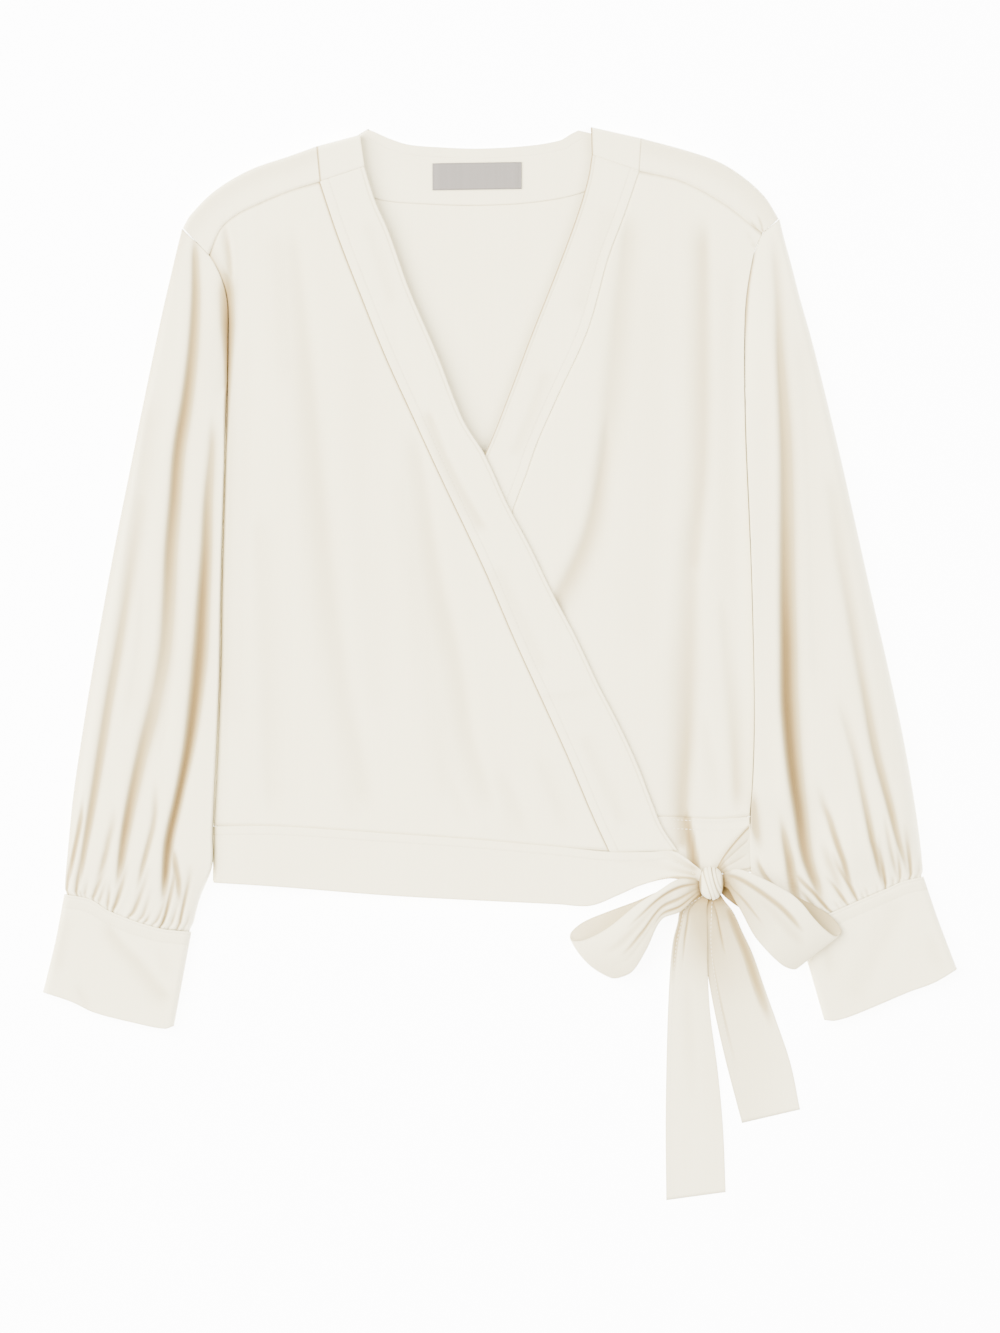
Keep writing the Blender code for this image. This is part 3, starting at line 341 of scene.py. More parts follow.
UNDER_FOLDS = (
    Fold(((97, 340), (93.6, 310), (84.9, 227.5), (76.2, 149), (70, 115)), (6, 9, 7), 1.5, -0.4, 0.12),
    Fold(((82, 190), (76.2, 149), (65.1, 96.6), (47.9, 57.4), (36, 36), (20, 6)), (4, 7, 8), 2.2, -0.5,
         (0.12, 0.22, 0.22, 0.12)),
    Fold(((150, 335), (151, 301), (151, 227.5), (150, 149), (146, 96.6), (142, 50)),
         (6, 8, 6), 1.2, 0.4, 0.17),
    Fold(((146, 120), (144, 96.6), (141, 10), (138.6, -55.9), (136, -100), (137, -140)),
         (6, 9, 6), 2.2, 0.4, (0.08, 0.14, 0.19, 0.26, 0.28)),
    Fold(((136, -96), (139, -121), (142.5, -138), (146, -160)), (2.4, 3.4, 3.0), 1.8, 0.3, (0.4, 0.8, 0.8)),
    Fold(((164, 60), (167.6, 18.1), (172, -40), (173.9, -77.3), (175.1, -116.6)), (5, 6, 4), 1.1, -0.4,
         (0.04, 0.08, 0.16, 0.22)),
    Fold(((148, -27), (154, -60), (159.8, -85), (163, -112)), 5, 0.5, 0.4, 0.04),
    Fold(((118, 300), (116, 200), (112, 90), (104, 0)), 14, 0.5, 0.3, 0.02),
    Fold(((172, 300), (170, 200), (172, 80), (176, -40)), 7, 0.6, 0.4, 0.03),
    Fold(((184, 329), (189, 322), (196, 316)), 0.9, 0.5, 0.3, 0.22),
    Fold(((189, 334), (193, 325), (195, 314)), 0.8, 0.5, -0.3, 0.22),
    Fold(((181, 318), (186, 313), (190, 306)), 0.9, 0.5, 0.3, 0.20),
)


def smooth(low, high, value):
    """0 below low, 1 above high and a soft step between."""
    f = np.clip((value - low) / (high - low), 0.0, 1.0)
    return f * f * (3 - 2 * f)


def rise(distance, radius):
    """Quarter-round profile: 0 at the edge, 1 from the radius inwards."""
    f = np.clip(distance / radius, 0.0, 1.0)
    return np.sqrt(1 - (1 - f) ** 2)


def creases(folds, plan, ease=28.0):
    """Depth and painted shade of soft folds at plan points. A leaning one has a low ridge by its steep side.
    """
    depth, dark = np.zeros(plan.shape[:-1]), np.zeros(plan.shape[:-1])
    for fold in folds:
        route = Line(*fold.path)
        count = max(int(route.length / 10), 4)
        knots = route.at(np.linspace(0, 1, count + 1))
        reach = 4 * np.max(fold.wide)
        inside = np.all((plan > knots.min(axis=0) - reach) & (plan < knots.max(axis=0) + reach), axis=-1)
        points = plan[inside]
        nearest = np.full(len(points), 1e9)
        side = np.ones(len(points))
        reached = np.zeros(len(points))
        for index in range(count):
            run = knots[index + 1] - knots[index]
            from_start = points - knots[index]
            share = np.clip(from_start @ run / (run @ run), 0, 1)
            away = from_start - share[:, None] * run
            distance = np.hypot(away[:, 0], away[:, 1])
            closer = distance < nearest
            nearest = np.where(closer, distance, nearest)
            side = np.where(closer, np.sign(run[0] * away[:, 1] - run[1] * away[:, 0]), side)
            reached = np.where(closer, (index + share) / count, reached)
        wide, deep, dim = (np.interp(reached, np.linspace(0, 1, len(values)), values)
                           for values in map(np.atleast_1d, (fold.wide, fold.deep, fold.dark)))
        end = min(ease, 0.4 * route.length) / route.length
        fade = smooth(0, end, reached) * smooth(0, end, 1 - reached)
        steep = wide * (1 - 0.7 * abs(fold.lean))
        on_steep = side * fold.lean > 0
        width = np.where(on_steep, steep, wide * (1 + 0.8 * abs(fold.lean)))
        valley = np.exp(-(nearest / width) ** 2)
        ridge = np.where(on_steep, np.exp(-((nearest - 2.6 * steep) / (1.5 * steep)) ** 2), 0.0)
        depth[inside] += deep * fade * (valley - 0.35 * abs(fold.lean) * ridge)
        dark[inside] = np.maximum(dark[inside], dim * fade * valley)
    return depth, dark


def troughs(folds, plan, ease=28.0):
    """Depth alone of soft folds at plan points."""
    return creases(folds, plan, ease)[0]


def ruffle(plan, size, seed):
    """Gentle unevenness between -1 and 1 over plan points, with bumps about size millimetres across."""
    values = [noise.noise((x / size, y / size, seed)) for x, y in plan.reshape(-1, 2)]
    return np.array(values).reshape(plan.shape[:-1])


def over_top(plan):
    """Height of the wearer's right front, before it meets its seams."""
    return OVER - troughs(OVER_FOLDS, plan) + 0.16 * ruffle(plan, 46, 1.0)


def under_top(plan):
    """Height of the wearer's left front, which follows the folds of the one above a little."""
    sunk = np.minimum(troughs(OVER_FOLDS, plan), 1.2)
    return UNDER - sunk - troughs(UNDER_FOLDS, plan) + 0.16 * ruffle(plan, 46, 1.0)


def place_mesh(name, verts, faces, finish):
    """A smooth mesh in one material from points in millimetres, which rides on the garment."""
    mesh = bpy.data.meshes.new(name)
    mesh.from_pydata((np.array(verts) * MM).tolist(), [], faces)
    mesh.shade_smooth()
    mesh.materials.append(finish)
    piece = bpy.data.objects.new(name, mesh)
    bpy.context.scene.collection.objects.link(piece)
    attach(piece, "root")
    return piece


def add_cloth(name, *grids, fold=None, ring=False, flip=False, thick=CLOTH, finish=crepe):
    """One layer of cloth from grids of points in millimetres on its outer face, thickened inwards.

    Points that lie together are one. fold is the shade painted at each point of all the grids, 0 to 1.
    """
    faces, first = [], 0
    for points in grids:
        rows, count = points.shape[:2]
        index = first + np.arange(rows * count).reshape(rows, count)
        first += rows * count
        if ring:
            index = np.concatenate([index, index[:, :1]], axis=1)
        corners = [index[:-1, :-1], index[1:, :-1], index[1:, 1:], index[:-1, 1:]]
        faces.append(np.stack(corners, axis=-1).reshape(-1, 4))
    points = np.concatenate([grid.reshape(-1, 3) for grid in grids])
    _, kept, merged = np.unique(np.round(points, 3), axis=0, return_index=True, return_inverse=True)
    quads = merged.reshape(-1)[np.concatenate(faces)]
    if flip:
        quads = quads[:, ::-1]
    piece = place_mesh(name, points[kept], quads.tolist(), finish)
    dark = np.zeros(len(points)) if fold is None else np.clip(fold, 0, 1).ravel()
    piece.data.attributes.new("fold", "FLOAT", "POINT").data.foreach_set("value", dark[kept])
    wall = piece.modifiers.new("wall", "SOLIDIFY")
    wall.thickness = thick * MM
    wall.offset = -1.0
    return piece


def spaced(length, step, *fine):
    """Fractions of a length: even steps, and closer ones round each fine place (distance, reach, step)."""
    marks = set(np.linspace(0, length, max(int(length / step), 2) + 1))
    for place, reach, close in fine:
        marks = {mark for mark in marks if abs(mark - place) > reach}
        marks |= {place + close * count for count in range(-int(reach / close), int(reach / close) + 1)}
    marks = np.array(sorted(mark for mark in marks if 0 < mark < length))
    marks = marks[np.concatenate([[True], np.diff(marks) > 0.12])]
    return np.concatenate([[0.0], marks, [length]]) / length


def join(*lines):
    """One line through the points of several that meet end to end."""
    return Line(*lines[0].points, *(point for line in lines[1:] for point in line.points[1:]))


def run_on(plan, end, inner):
    """Moves a plan's row at one end outwards by the lap, away from the row inside it."""
    outward = plan[end] - plan[inner]
    plan[end] += outward / np.linalg.norm(outward, axis=-1)[:, None] * LAP


def with_height(plan, height):
    """Points in space from plan points and a height for each."""
    return np.concatenate([plan, height[..., None]], axis=-1)


def over_the_shoulder(fold, seam, top, across):
    """Rows of cloth from the underside, round the fold on the shoulder and on to the forward seam."""
    crest, end = fold.at(across), seam.at(across)
    run = end - crest
    reach = np.linalg.norm(run, axis=1)
    run /= reach[:, None]
    heights = top(crest + run * SHOULDER_ROUND)
    rows = []
    for angle in np.linspace(0, math.pi, TURN_ROWS):
        plan = crest + run * SHOULDER_ROUND * (1 - math.sin(angle))
        rows.append(with_height(plan, heights / 2 * (1 - math.cos(angle))))
    for share in np.linspace(0, 1, FLAP_ROWS + 1)[1:]:
        plan = crest + run * (SHOULDER_ROUND + (reach - SHOULDER_ROUND) * share)[:, None]
        rows.append(with_height(plan, top(plan) - edge_roll(reach * (1 - share))))
    return np.array(rows)


def edge_roll(distance):
    """How far the edge of a proud band or flap rolls down, from 0.7 mm at the edge to nothing inside it."""
    return 0.7 * (1 - rise(distance, 1.1))


def distances(plan, row=None, column=None):
    """How far each plan point lies from its own column's point in a row, or its row's point in a column."""
    edge = plan[row][None] if column is None else plan[:, column][:, None]
    return np.linalg.norm(plan - edge, axis=-1)


def groove(distance, place, wide=0.55, deep=0.2):
    """The dent that a line of stitches or a pressed line leaves in the cloth."""
    return deep * np.exp(-((distance - place) / wide) ** 2)


def painted_line_shade(distance, dark, wide=1.0):
    """The thin shade painted along a seam or an edge."""
    return dark * np.exp(-(np.maximum(distance, 0) / wide) ** 2)


def along(points, distance, place):
    """The run of surface points, one in each row, that lies at a distance from the row's edge."""
    run = []
    for row, reach in zip(points, distance):
        order = np.argsort(reach)
        run.append([np.interp(place, reach[order], row[order, axis]) for axis in range(3)])
    return np.array(run)


def add_stitches(name, *runs):
    """Small thread stitches along runs of surface points, all in one mesh."""
    verts, faces = [], []
    # one stitch: x along it, in halves of its length, and y and z across it and up
    grain = [(-1, 0, 0), (-0.5, 0.24, 0.05), (-0.5, 0, 0.2), (-0.5, -0.24, 0.05),
             (0.5, 0.24, 0.05), (0.5, 0, 0.2), (0.5, -0.24, 0.05), (1, 0, 0)]
    grain_faces = [(0, 1, 2), (0, 2, 3), (1, 4, 5, 2), (2, 5, 6, 3), (4, 7, 5), (5, 7, 6)]
    for run in runs:
        steps = np.linalg.norm(np.diff(run, axis=0), axis=1)
        reach = np.concatenate([[0.0], np.cumsum(steps)])
        for centre in np.arange(STITCH_PITCH, reach[-1] - STITCH_PITCH / 2, STITCH_PITCH):
            ends = [np.array([np.interp(centre + half, reach, run[:, axis]) for axis in range(3)])
                    for half in (-STITCH_LONG / 2, STITCH_LONG / 2)]
            forward = ends[1] - ends[0]
            aside = np.cross((0, 0, 1), forward / np.linalg.norm(forward))
            first = len(verts)
            for x, y, z in grain:
                place = (ends[0] + ends[1]) / 2 + forward / 2 * x
                verts.append(place + aside * y + np.array((0, 0, z + 0.02)))
            faces += [[first + corner for corner in face] for face in grain_faces]
    return place_mesh(name, verts, faces, thread)


THREAD_PALE = (0.80, 0.755, 0.60, 1.0)
THREAD_FULL = (0.74, 0.69, 0.53, 1.0)
thread = woven("sewing_thread", THREAD_PALE, THREAD_FULL, pebble_scale=2500.0, thread_scale=1800.0,
               relief=0.00006, roughness=0.6)
back_side_r, back_side_l = join(ARMHOLE_R, SIDE_R), join(ARMHOLE_L, SIDE_L)
flap_across = spaced(FLAP_WIDE, 2.6, (0, 10, 0.8), (FLAP_WIDE, 10, 0.8))
flap_r = over_the_shoulder(SHOULDER_R, FORWARD_R, over_top, flap_across)
flap_l = over_the_shoulder(SHOULDER_L, FORWARD_L, under_top, flap_across)
neck_line = Line(*(row.seam for row in BACK_BAND)).beside(0.2)
neck_head = neck_line.at(np.linspace(0, 1, NECK_COLUMNS))
back_head = np.concatenate([flap_r[0][:, :2], neck_head, flap_l[0][:, :2]])
back_down = spaced(BACK_LONG, 4.5, (0, 12, 1.5))[:, None, None]
shift_r = back_side_r.at(back_down.ravel())[:, None]
shift_l = back_side_l.at(back_down.ravel())[:, None]
foot_r, foot_l = back_side_r.points[-1], back_side_l.points[-1]
back_share = ((back_head[:, 0] - back_head[0, 0]) / (back_head[-1, 0] - back_head[0, 0]))[None, :, None]
back_plan = back_head + (foot_r + (foot_l - foot_r) * back_share - back_head) * back_down
# The folds over the shoulders set the head in at its ends.
turned_in = back_down - smooth(0, 0.1, back_down)
for side_line, head, shift, share in ((back_side_r, back_head[0], shift_r, 1 - back_share),
                                      (back_side_l, back_head[-1], shift_l, back_share)):
    top, foot = side_line.points[0], side_line.points[-1]
    back_plan += (shift - top - (foot - top) * back_down + (head - top) * turned_in) * share
back_lift = np.clip(troughs(BACK_FOLDS, back_plan) + 0.15 * ruffle(back_plan, 40, 4.0) + 0.1, 0, 1.4)
back_lift *= smooth(0, 0.12, back_down[..., 0]) * smooth(0, 0.05, 1 - back_down[..., 0])
back_lift *= smooth(0, 0.03, back_share[..., 0]) * smooth(0, 0.03, 1 - back_share[..., 0])
tucked = smooth(0.02, 0.08, back_down.ravel())       # the side seams run on a little under the sleeves
back_plan[:, 0, 0] -= 0.8 * tucked
back_plan[:, -1, 0] += (0.8 + 1.4 * smooth(0.75, 0.95, back_down.ravel())) * tucked
back_rows = with_height(back_plan, back_lift)


def painted_flap_shade(flap, folds):
    """Shade painted in a flap's creases, by its turn over the shoulder and in the dents of its stitches."""
    plan = flap[..., :2]
    from_seam = distances(plan, row=-1)
    turning = 0.06 * (1 - smooth(0, 14, distances(plan, row=TURN_ROWS - 1)))
    return np.maximum(creases(folds, plan)[1], turning) + 0.1 * groove(from_seam, FLAP_STITCH, 0.5, 1.0)


# Painted shade along the back's side edges, and in the creases of its flaps.
back_edge = np.minimum(distances(back_plan, column=0), distances(back_plan, column=-1))
back_painted_shade = [painted_line_shade(back_edge, 0.1, 5.0), painted_flap_shade(flap_r, OVER_FOLDS)[::-1],
             painted_flap_shade(flap_l, UNDER_FOLDS)[::-1]]
back_panel = add_cloth("back_panel_crepe", back_rows, flap_r[::-1], flap_l[::-1], flip=True,
                       fold=np.concatenate([part.ravel() for part in back_painted_shade]))
shoulder_runs = []
for flap in (flap_r, flap_l):
    turned = flap[TURN_ROWS:].transpose(1, 0, 2)[3:-3]
    from_seam = distances(flap[..., :2], row=-1)[TURN_ROWS:].T[3:-3]
    shoulder_runs.append(along(turned, from_seam, FLAP_STITCH))
shoulder_stitching = add_stitches("stitching_shoulders", *shoulder_runs)
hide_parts("back_panel")

# --- Fronts ---
# Two single layers of crepe. The wearer's left front lies under the right one, which crosses over it
# down to the hip. Each rolls down to its side seam, and its other edges run on under a band's edge.
OVER_SEAM = Line((-133, 356), (-120, 317), (-103, 273), (-84, 226), (-63, 180), (-46, 143), (-11, 69),
                 (10, 20), (30, -24), (50, -68), (69, -113), (81, -139))
UNDER_SEAM = Line((103, 364), (92, 332), (80, 300), (65, 247), (41, 194), (27, 162), (19, 139),
                  (0, 91), (-38, 10), (-78, -71), (-104, -118))
WAIST_SEAM_OVER = ((-165, -120), (-93, -124.6), (-21, -129.6), (43, -135.2))
WAIST_SEAM_UNDER = ((0, -116), (118, -113), (160, -114.5))
FRONT_LONG = 430.0    # about how far the rows of a front run
FRONT_WIDE = 290.0


def panel(left, right, across, down, top=(), bottom=()):
    """Plan points of a piece between two edges: rows down it, each with points across it."""
    head = Line(left.points[0], *top, right.points[0]).at(across)
    foot = Line(left.points[-1], *bottom, right.points[-1]).at(across)
    u = across[None, :, None]
    v = down[:, None, None]
    sides = left.at(down)[:, None] * (1 - u) + right.at(down)[:, None] * u
    corners_up = head[0] * (1 - u) + head[-1] * u
    corners_down = foot[0] * (1 - u) + foot[-1] * u
    return sides + (head - corners_up) * (1 - v) + (foot - corners_down) * v


def lowered(points, depth):
    """Plan points moved down towards the hem."""
    return [(x, y - depth) for x, y in points]


def seam_dip(inside):
    """How far a panel dips where it runs under a band. inside is the distance in from the seam."""
    return 1.2 * (1 - smooth(-LAP, 2.2, inside))


def pucker(plan, inside, seed):
    """Small waves in the cloth along a seam, gone a finger's width away from it."""
    return 0.3 * ruffle(plan, 6.0, seed) * np.exp(-np.maximum(inside, 0) / 5.0)


# A side seam: its column in a panel, how far the cloth rolls down to it, its height there, and the shade
# painted beside it.
Side = namedtuple("Side", "column rolls low dark")
RIGHT_SIDE, LEFT_SIDE = Side(0, 4.5, 0.75, 0.24), Side(-1, 0.6, 6.2, 0.0)


def painted_side_shade(side, from_side):
    """The shade painted beside a side seam: a thin line, and a wider faint one."""
    return painted_line_shade(from_side, side.dark, 1.2) + painted_line_shade(from_side, 0.6 * side.dark, 6.0)


def add_front(name, node, plan, top, folds, painted_seam_shade, side):
    """A front panel, which runs on under its band, its flap and the waistband."""
    height, dark = top(plan), creases(folds, plan)[1]
    under_band = distances(plan, column=-1 - side.column) - LAP
    under_flap = distances(plan, row=0) - LAP
    under_waist = distances(plan, row=-1) - LAP
    from_side = distances(plan, column=side.column)
    nearest = np.minimum(np.minimum(under_band, under_flap), under_waist)
    height = height - seam_dip(nearest) + pucker(plan, nearest, 7.0)
    edge = side.low + (height - 0.8 - side.low) * smooth(232, 300, plan[..., 1])
    height = edge + (height - edge) * rise(from_side, side.rolls)
    # painted shade by the seams under its band, flap and waistband, and beside its side seam, fainter lower
    # down
    dark = np.maximum(dark, painted_line_shade(under_band, painted_seam_shade) + painted_line_shade(under_flap, 0.16))
    dark += painted_line_shade(under_waist, 0.06)
    dark += painted_side_shade(side, from_side) * (0.25 + 0.75 * smooth(-80, 0, plan[..., 1]))
    piece = add_cloth(name, with_height(plan, height), fold=dark)
    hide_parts(node)


front_down = spaced(FRONT_LONG, 2.8, (0, 5, 0.8), (FRONT_LONG, 5, 0.8))
over_across = spaced(FRONT_WIDE, 2.3, (0, 9, 0.8), (FRONT_WIDE, 5, 0.7))
side_r = join(Line(*ARMHOLE_R.points[2:]), SIDE_R)
over_plan = panel(side_r, OVER_SEAM.beside(LAP), over_across, front_down,
                  FORWARD_R.beside(LAP).points[1:-1], lowered(WAIST_SEAM_OVER, LAP))
add_front("front_right_crepe", "front_right", over_plan, over_top, OVER_FOLDS, painted_seam_shade=0.5,
          side=RIGHT_SIDE)

under_across = spaced(FRONT_WIDE, 2.5, (0, 5, 0.7), (FRONT_WIDE, 9, 0.8), (FRONT_WIDE, 1.5, 0.3))
side_l = join(Line(*ARMHOLE_L.points[1:]), SIDE_L)
under_plan = panel(UNDER_SEAM.beside(-LAP), side_l, under_across, front_down,
                   FORWARD_L.beside(LAP).points[1:-1], lowered(WAIST_SEAM_UNDER, LAP))
add_front("front_left_crepe", "front_left", under_plan, under_top, UNDER_FOLDS, painted_seam_shade=0.06,
          side=LEFT_SIDE)

# --- Neckbands ---
# Bands of doubled crepe: one round the back of the neck that turns over both shoulders, and one down each
# front's edge. Each is folded at the neck edge, sewn to its panel and topstitched inside the seam.
DOUBLE = 1.0          # two layers of crepe, pressed together
BAND = 40.0           # width of a front's band
BAND_LONG = 600.0     # about how far its rows run
BAND_STITCH = 6.7     # topstitching, in from a band's seam
TURNED = 2.9          # the pressed line along a band's folded edge
UNDER_PROUD = 0.15    # how far the under band stands above the panel it is sewn to
BACK_WIDE = 42.0      # width of the back neckband
BACK_ROWS = 84        # rows of points along it, between its turned ends
BACK_STITCH = 7.4     # topstitching, in from its folded edge
OVER_EDGE = Line((-100, 367), (-92, 342), (-82, 319), (-67, 277), (-46, 228), (-27, 180), (-11, 154),
                 (6, 117), (21, 89), (39, 52), (56, 20), (73, -16), (87, -43), (101, -73), (113, -104),
                 (120, -121), (131, -137.5))
UNDER_EDGE = Line((67.8, 376), (64.8, 358), (57.5, 333), (44, 296), (22, 240), (7, 200), (-11, 155),
                  (-44, 88), (-85, 10), (-126, -71), (-147, -119.5))
BAND_FOLD_R, BAND_FORWARD_R = Line((-135.5, 382.5), (-103.5, 391)), Line((-133, 356), (-100, 367))
BAND_FOLD_L, BAND_FORWARD_L = Line((104.5, 388.5), (67.2, 396.8)), Line((103, 364), (67.8, 376))
OVER_BAND_FOLDS = (
    Fold(((-54, 190), (-48.1, 173), (-38.5, 149.1), (-25.2, 123.2), (-9, 96)), 4, 0.9, 0.6, 0.12),
    Fold(((24, -25.5), (48.1, -23.3), (72, -21)), 3, 0.3, 0.5, 0.03),
    Fold(((-100, 330), (-90, 300), (-78, 262)), 5, 0.35, -0.4, 0.04),
    Fold(((-4, 74), (14, 38), (34, -8)), 6, 0.45, 0.4, 0.05),
    Fold(((60, -50), (76, -86), (92, -122)), 5, 0.5, -0.4, 0.05),
)
UNDER_BAND_FOLDS = (
    Fold(((84, 340), (72, 300), (58, 256)), 6, 0.35, 0.4, 0.04),
    Fold(((36, 220), (22, 182), (8, 150)), 5, 0.4, -0.4, 0.06),
)


def band_plan(seam, edge, marks, down):
    """Plan points of a band between its seam and its edge. marks are distances for a band's usual width."""
    from_seam, from_edge = seam.at(down)[:, None], edge.at(down)[:, None]
    actual = np.linalg.norm(from_edge - from_seam, axis=-1)
    across = (marks + (actual - BAND) * smooth(10, BAND - 6, marks)) / actual
    plan = from_seam + (from_edge - from_seam) * across[..., None]
    run_on(plan, 0, 1)
    run_on(plan, -1, -2)
    return plan


def finish_band(node, runs):
    """The rows of stitches on a folded piece, and what the piece stands for."""
    stitching = add_stitches("stitching_" + node, *runs)
    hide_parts(node)


def add_band(name, node, seam, edge, top, proud, folds, edge_dark, flip):
    """A front's band: folded at its edge, with a pressed line there and topstitching inside its seam."""
    marks = spaced(BAND, 2.4, (0, 1.6, 0.4), (BAND_STITCH, 1.5, 0.3), (BAND - TURNED, 1.2, 0.3),
                   (BAND, 1.2, 0.3)) * BAND
    down = spaced(BAND_LONG, 2.8, (0, 4, 0.8), (BAND_LONG, 4, 0.8))
    plan = band_plan(seam, edge, marks, down)
    in_seam, in_edge = distances(plan, column=0), distances(plan, column=-1)
    ends = np.minimum(distances(plan, row=0), distances(plan, row=-1)) - LAP
    sunk, dark = creases(folds, plan, ease=10.0)
    height = top(plan) + proud - sunk
    height += pucker(plan, np.abs(in_seam - BAND_STITCH), 9.0) * 0.5 - groove(in_seam, BAND_STITCH)
    height -= groove(in_edge, TURNED, 0.5, 0.3) + edge_roll(in_seam) + 1.3 * edge_roll(in_edge)
    height -= seam_dip(ends) * 0.7
    # painted shade in the dents of its stitches and its pressed line, and along its folded edge, fainter
    # lower down
    dark = dark + groove(in_seam, BAND_STITCH, 0.5, 0.07) + groove(in_edge, TURNED, 0.6, 0.10)
    dark += painted_line_shade(in_edge, edge_dark, 0.8) * (0.5 + 0.5 * smooth(60, 330, plan[..., 1]))
    points = with_height(plan, height)
    piece = add_cloth(name, points, fold=dark, flip=flip, thick=DOUBLE)
    finish_band(node, [along(points, in_seam, BAND_STITCH)])


add_band("neckband_right_crepe", "neckband_right", OVER_SEAM, OVER_EDGE, over_top, PROUD, OVER_BAND_FOLDS,
         edge_dark=0.16, flip=False)
add_band("neckband_left_crepe", "neckband_left", UNDER_SEAM, UNDER_EDGE, under_top, UNDER_PROUD,
         UNDER_BAND_FOLDS, edge_dark=0.8, flip=True)

back_band_across = spaced(BACK_WIDE, 2.6, (0, 1.6, 0.4), (BACK_WIDE - BACK_STITCH, 1.6, 0.35),
                          (BACK_WIDE, 1.6, 0.4))


def band_end(fold, seam, top, proud):
    """Rows of the back neckband's end, round the fold on a shoulder."""
    return over_the_shoulder(fold, seam, lambda plan: top(plan) + proud, back_band_across)


def painted_end_shade(rows, painted_seam_shade, edge_dark):
    """The shade painted on a turned end beside its seam and its folded edge."""
    from_seam, from_edge = distances(rows[..., :2], column=0), distances(rows[..., :2], column=-1)
    return painted_line_shade(from_seam, painted_seam_shade, 0.8) + painted_line_shade(from_edge, edge_dark, 0.8)


end_r = band_end(BAND_FOLD_R, BAND_FORWARD_R, over_top, PROUD)
end_l = band_end(BAND_FOLD_L, BAND_FORWARD_L, under_top, UNDER_PROUD)
seam_line, neck_edge = Line(*(row.seam for row in BACK_BAND)), Line(*(row.neck for row in BACK_BAND))
places = np.linspace(0, len(BACK_BAND) - 1, BACK_ROWS)
seam_run = seam_line.at(np.interp(places, range(len(BACK_BAND)), seam_line.marks))
neck_run = neck_edge.at(np.interp(places, range(len(BACK_BAND)), neck_edge.marks))
flat_plan = seam_run[:, None] + (neck_run - seam_run)[:, None] * back_band_across[:, None]
rows_in = np.minimum(places, len(BACK_BAND) - 1 - places)[:, None]
neck_side = distances(flat_plan, column=-1)
flat_lift = (0.45 - groove(neck_side, BACK_STITCH, 0.6, 0.3)) * smooth(0, 1, rows_in)
flat_lift = flat_lift + np.maximum(0.12 * ruffle(flat_plan, 30, 3.0), 0)
flat_rows = with_height(flat_plan, np.broadcast_to(flat_lift, flat_plan.shape[:2]))
band_rows = np.concatenate([end_r[::-1], flat_rows, end_l])
# Painted shade beside the back neckband's seam, and along the folded edges of its turned ends.
band_painted_shade = [painted_end_shade(end_r, 0.6, 0.1)[::-1], painted_line_shade(distances(flat_plan, column=0), 0.1, 0.8),
             painted_end_shade(end_l, 0.2, 0.8)]
neckband = add_cloth("neckband_back_crepe", band_rows, fold=np.concatenate(band_painted_shade), flip=True,
                     thick=DOUBLE)
inner_face = flat_rows + np.array((0, 0, DOUBLE))
finish_band("neckband_back", [along(inner_face, neck_side, BACK_STITCH)])

# --- Waistband ---
# Doubled crepe round the waist, 41 mm deep and topstitched. The right front's length runs on past its edge
# as the belt's first end, which gathers into the knot. The left front's length is under it.
WAISTBAND = 41.0      # its depth
WAIST_RIGHT_X, WAIST_LEFT_X = -212.0, 184.5    # where its side seams are
RIGHT_LONG, LEFT_LONG, BEHIND_LONG = 370.0, 331.0, 396.0    # about how far its three lengths run
INTO_KNOT = 25.0      # the right length's last stretch, closely pleated
TIE_LIFT = 4.0        # how far the belt's first end rises to the knot
WAIST_STITCH = 6.3    # topstitching, in from its upper seam
WAIST_PROUD = 0.2     # how far it stands above the fronts
KNOT_MOUTH = Line((148.7, -152.6), (147.2, -161.2))
TIE_FOLDS = (
    Fold(((106, -126), (130, -144), (149, -154)), (3.0, 2.0), (0.6, 1.4), 0.5, (0.0, 0.06, 0.3)),
    Fold(((92, -148), (120, -151), (149, -157.4)), (3.5, 1.8), (0.2, 1.0, 1.3), -0.5, (0.0, 0.04, 0.3)),
    Fold(((112, -162), (130, -158), (149, -159.6)), (2.0, 1.4), (0.4, 1.0), 0.4, (0.05, 0.35, 0.5)),
    Fold(((120, -138), (136, -146.5), (149, -155.6)), (1.6, 1.0), (0.3, 0.8), -0.4, (0.0, 0.05, 0.3)),
)


def add_waistband(name, node, plan, top, folds, side, side_x, stitch_lines):
    """A length of waistband, with its side seam at side_x."""
    from_top, from_hem = distances(plan, row=0), distances(plan, row=-1)
    height = top(plan) + 0.8 * pucker(plan, np.abs(from_top - WAIST_STITCH), 11.0)
    # painted shade in its creases and the dents of its stitches, along its hem and beside its side seam
    dark = creases(folds, plan, ease=8.0)[1]
    for place in stitch_lines:
        height -= groove(from_top, place)
        dark += groove(from_top, place, 0.5, 0.06)
    height -= 0.5 * edge_roll(from_top) + 1.3 * edge_roll(from_hem)
    low = side.low + 0.4
    from_side = np.abs(plan[..., 0] - side_x)
    dark += painted_line_shade(from_hem, 0.12, 0.8) + 0.3 * painted_side_shade(side, from_side)
    points = with_height(plan, low + (height - low) * rise(from_side, side.rolls))
    piece = add_cloth(name, points, fold=dark, thick=DOUBLE)
    inside = slice(3, None) if side is RIGHT_SIDE else slice(None, -3)
    turned = points.transpose(1, 0, 2)[inside]
    runs = [along(turned, from_top.T[inside], place) for place in stitch_lines]
    finish_band(node, runs)


def tie_top(plan):
    """Height of the right length, which rises as it gathers into the knot."""
    gather = smooth(112, 147, plan[..., 0])
    return over_top(plan) + WAIST_PROUD + TIE_LIFT * gather - troughs(TIE_FOLDS, plan, ease=6.0)


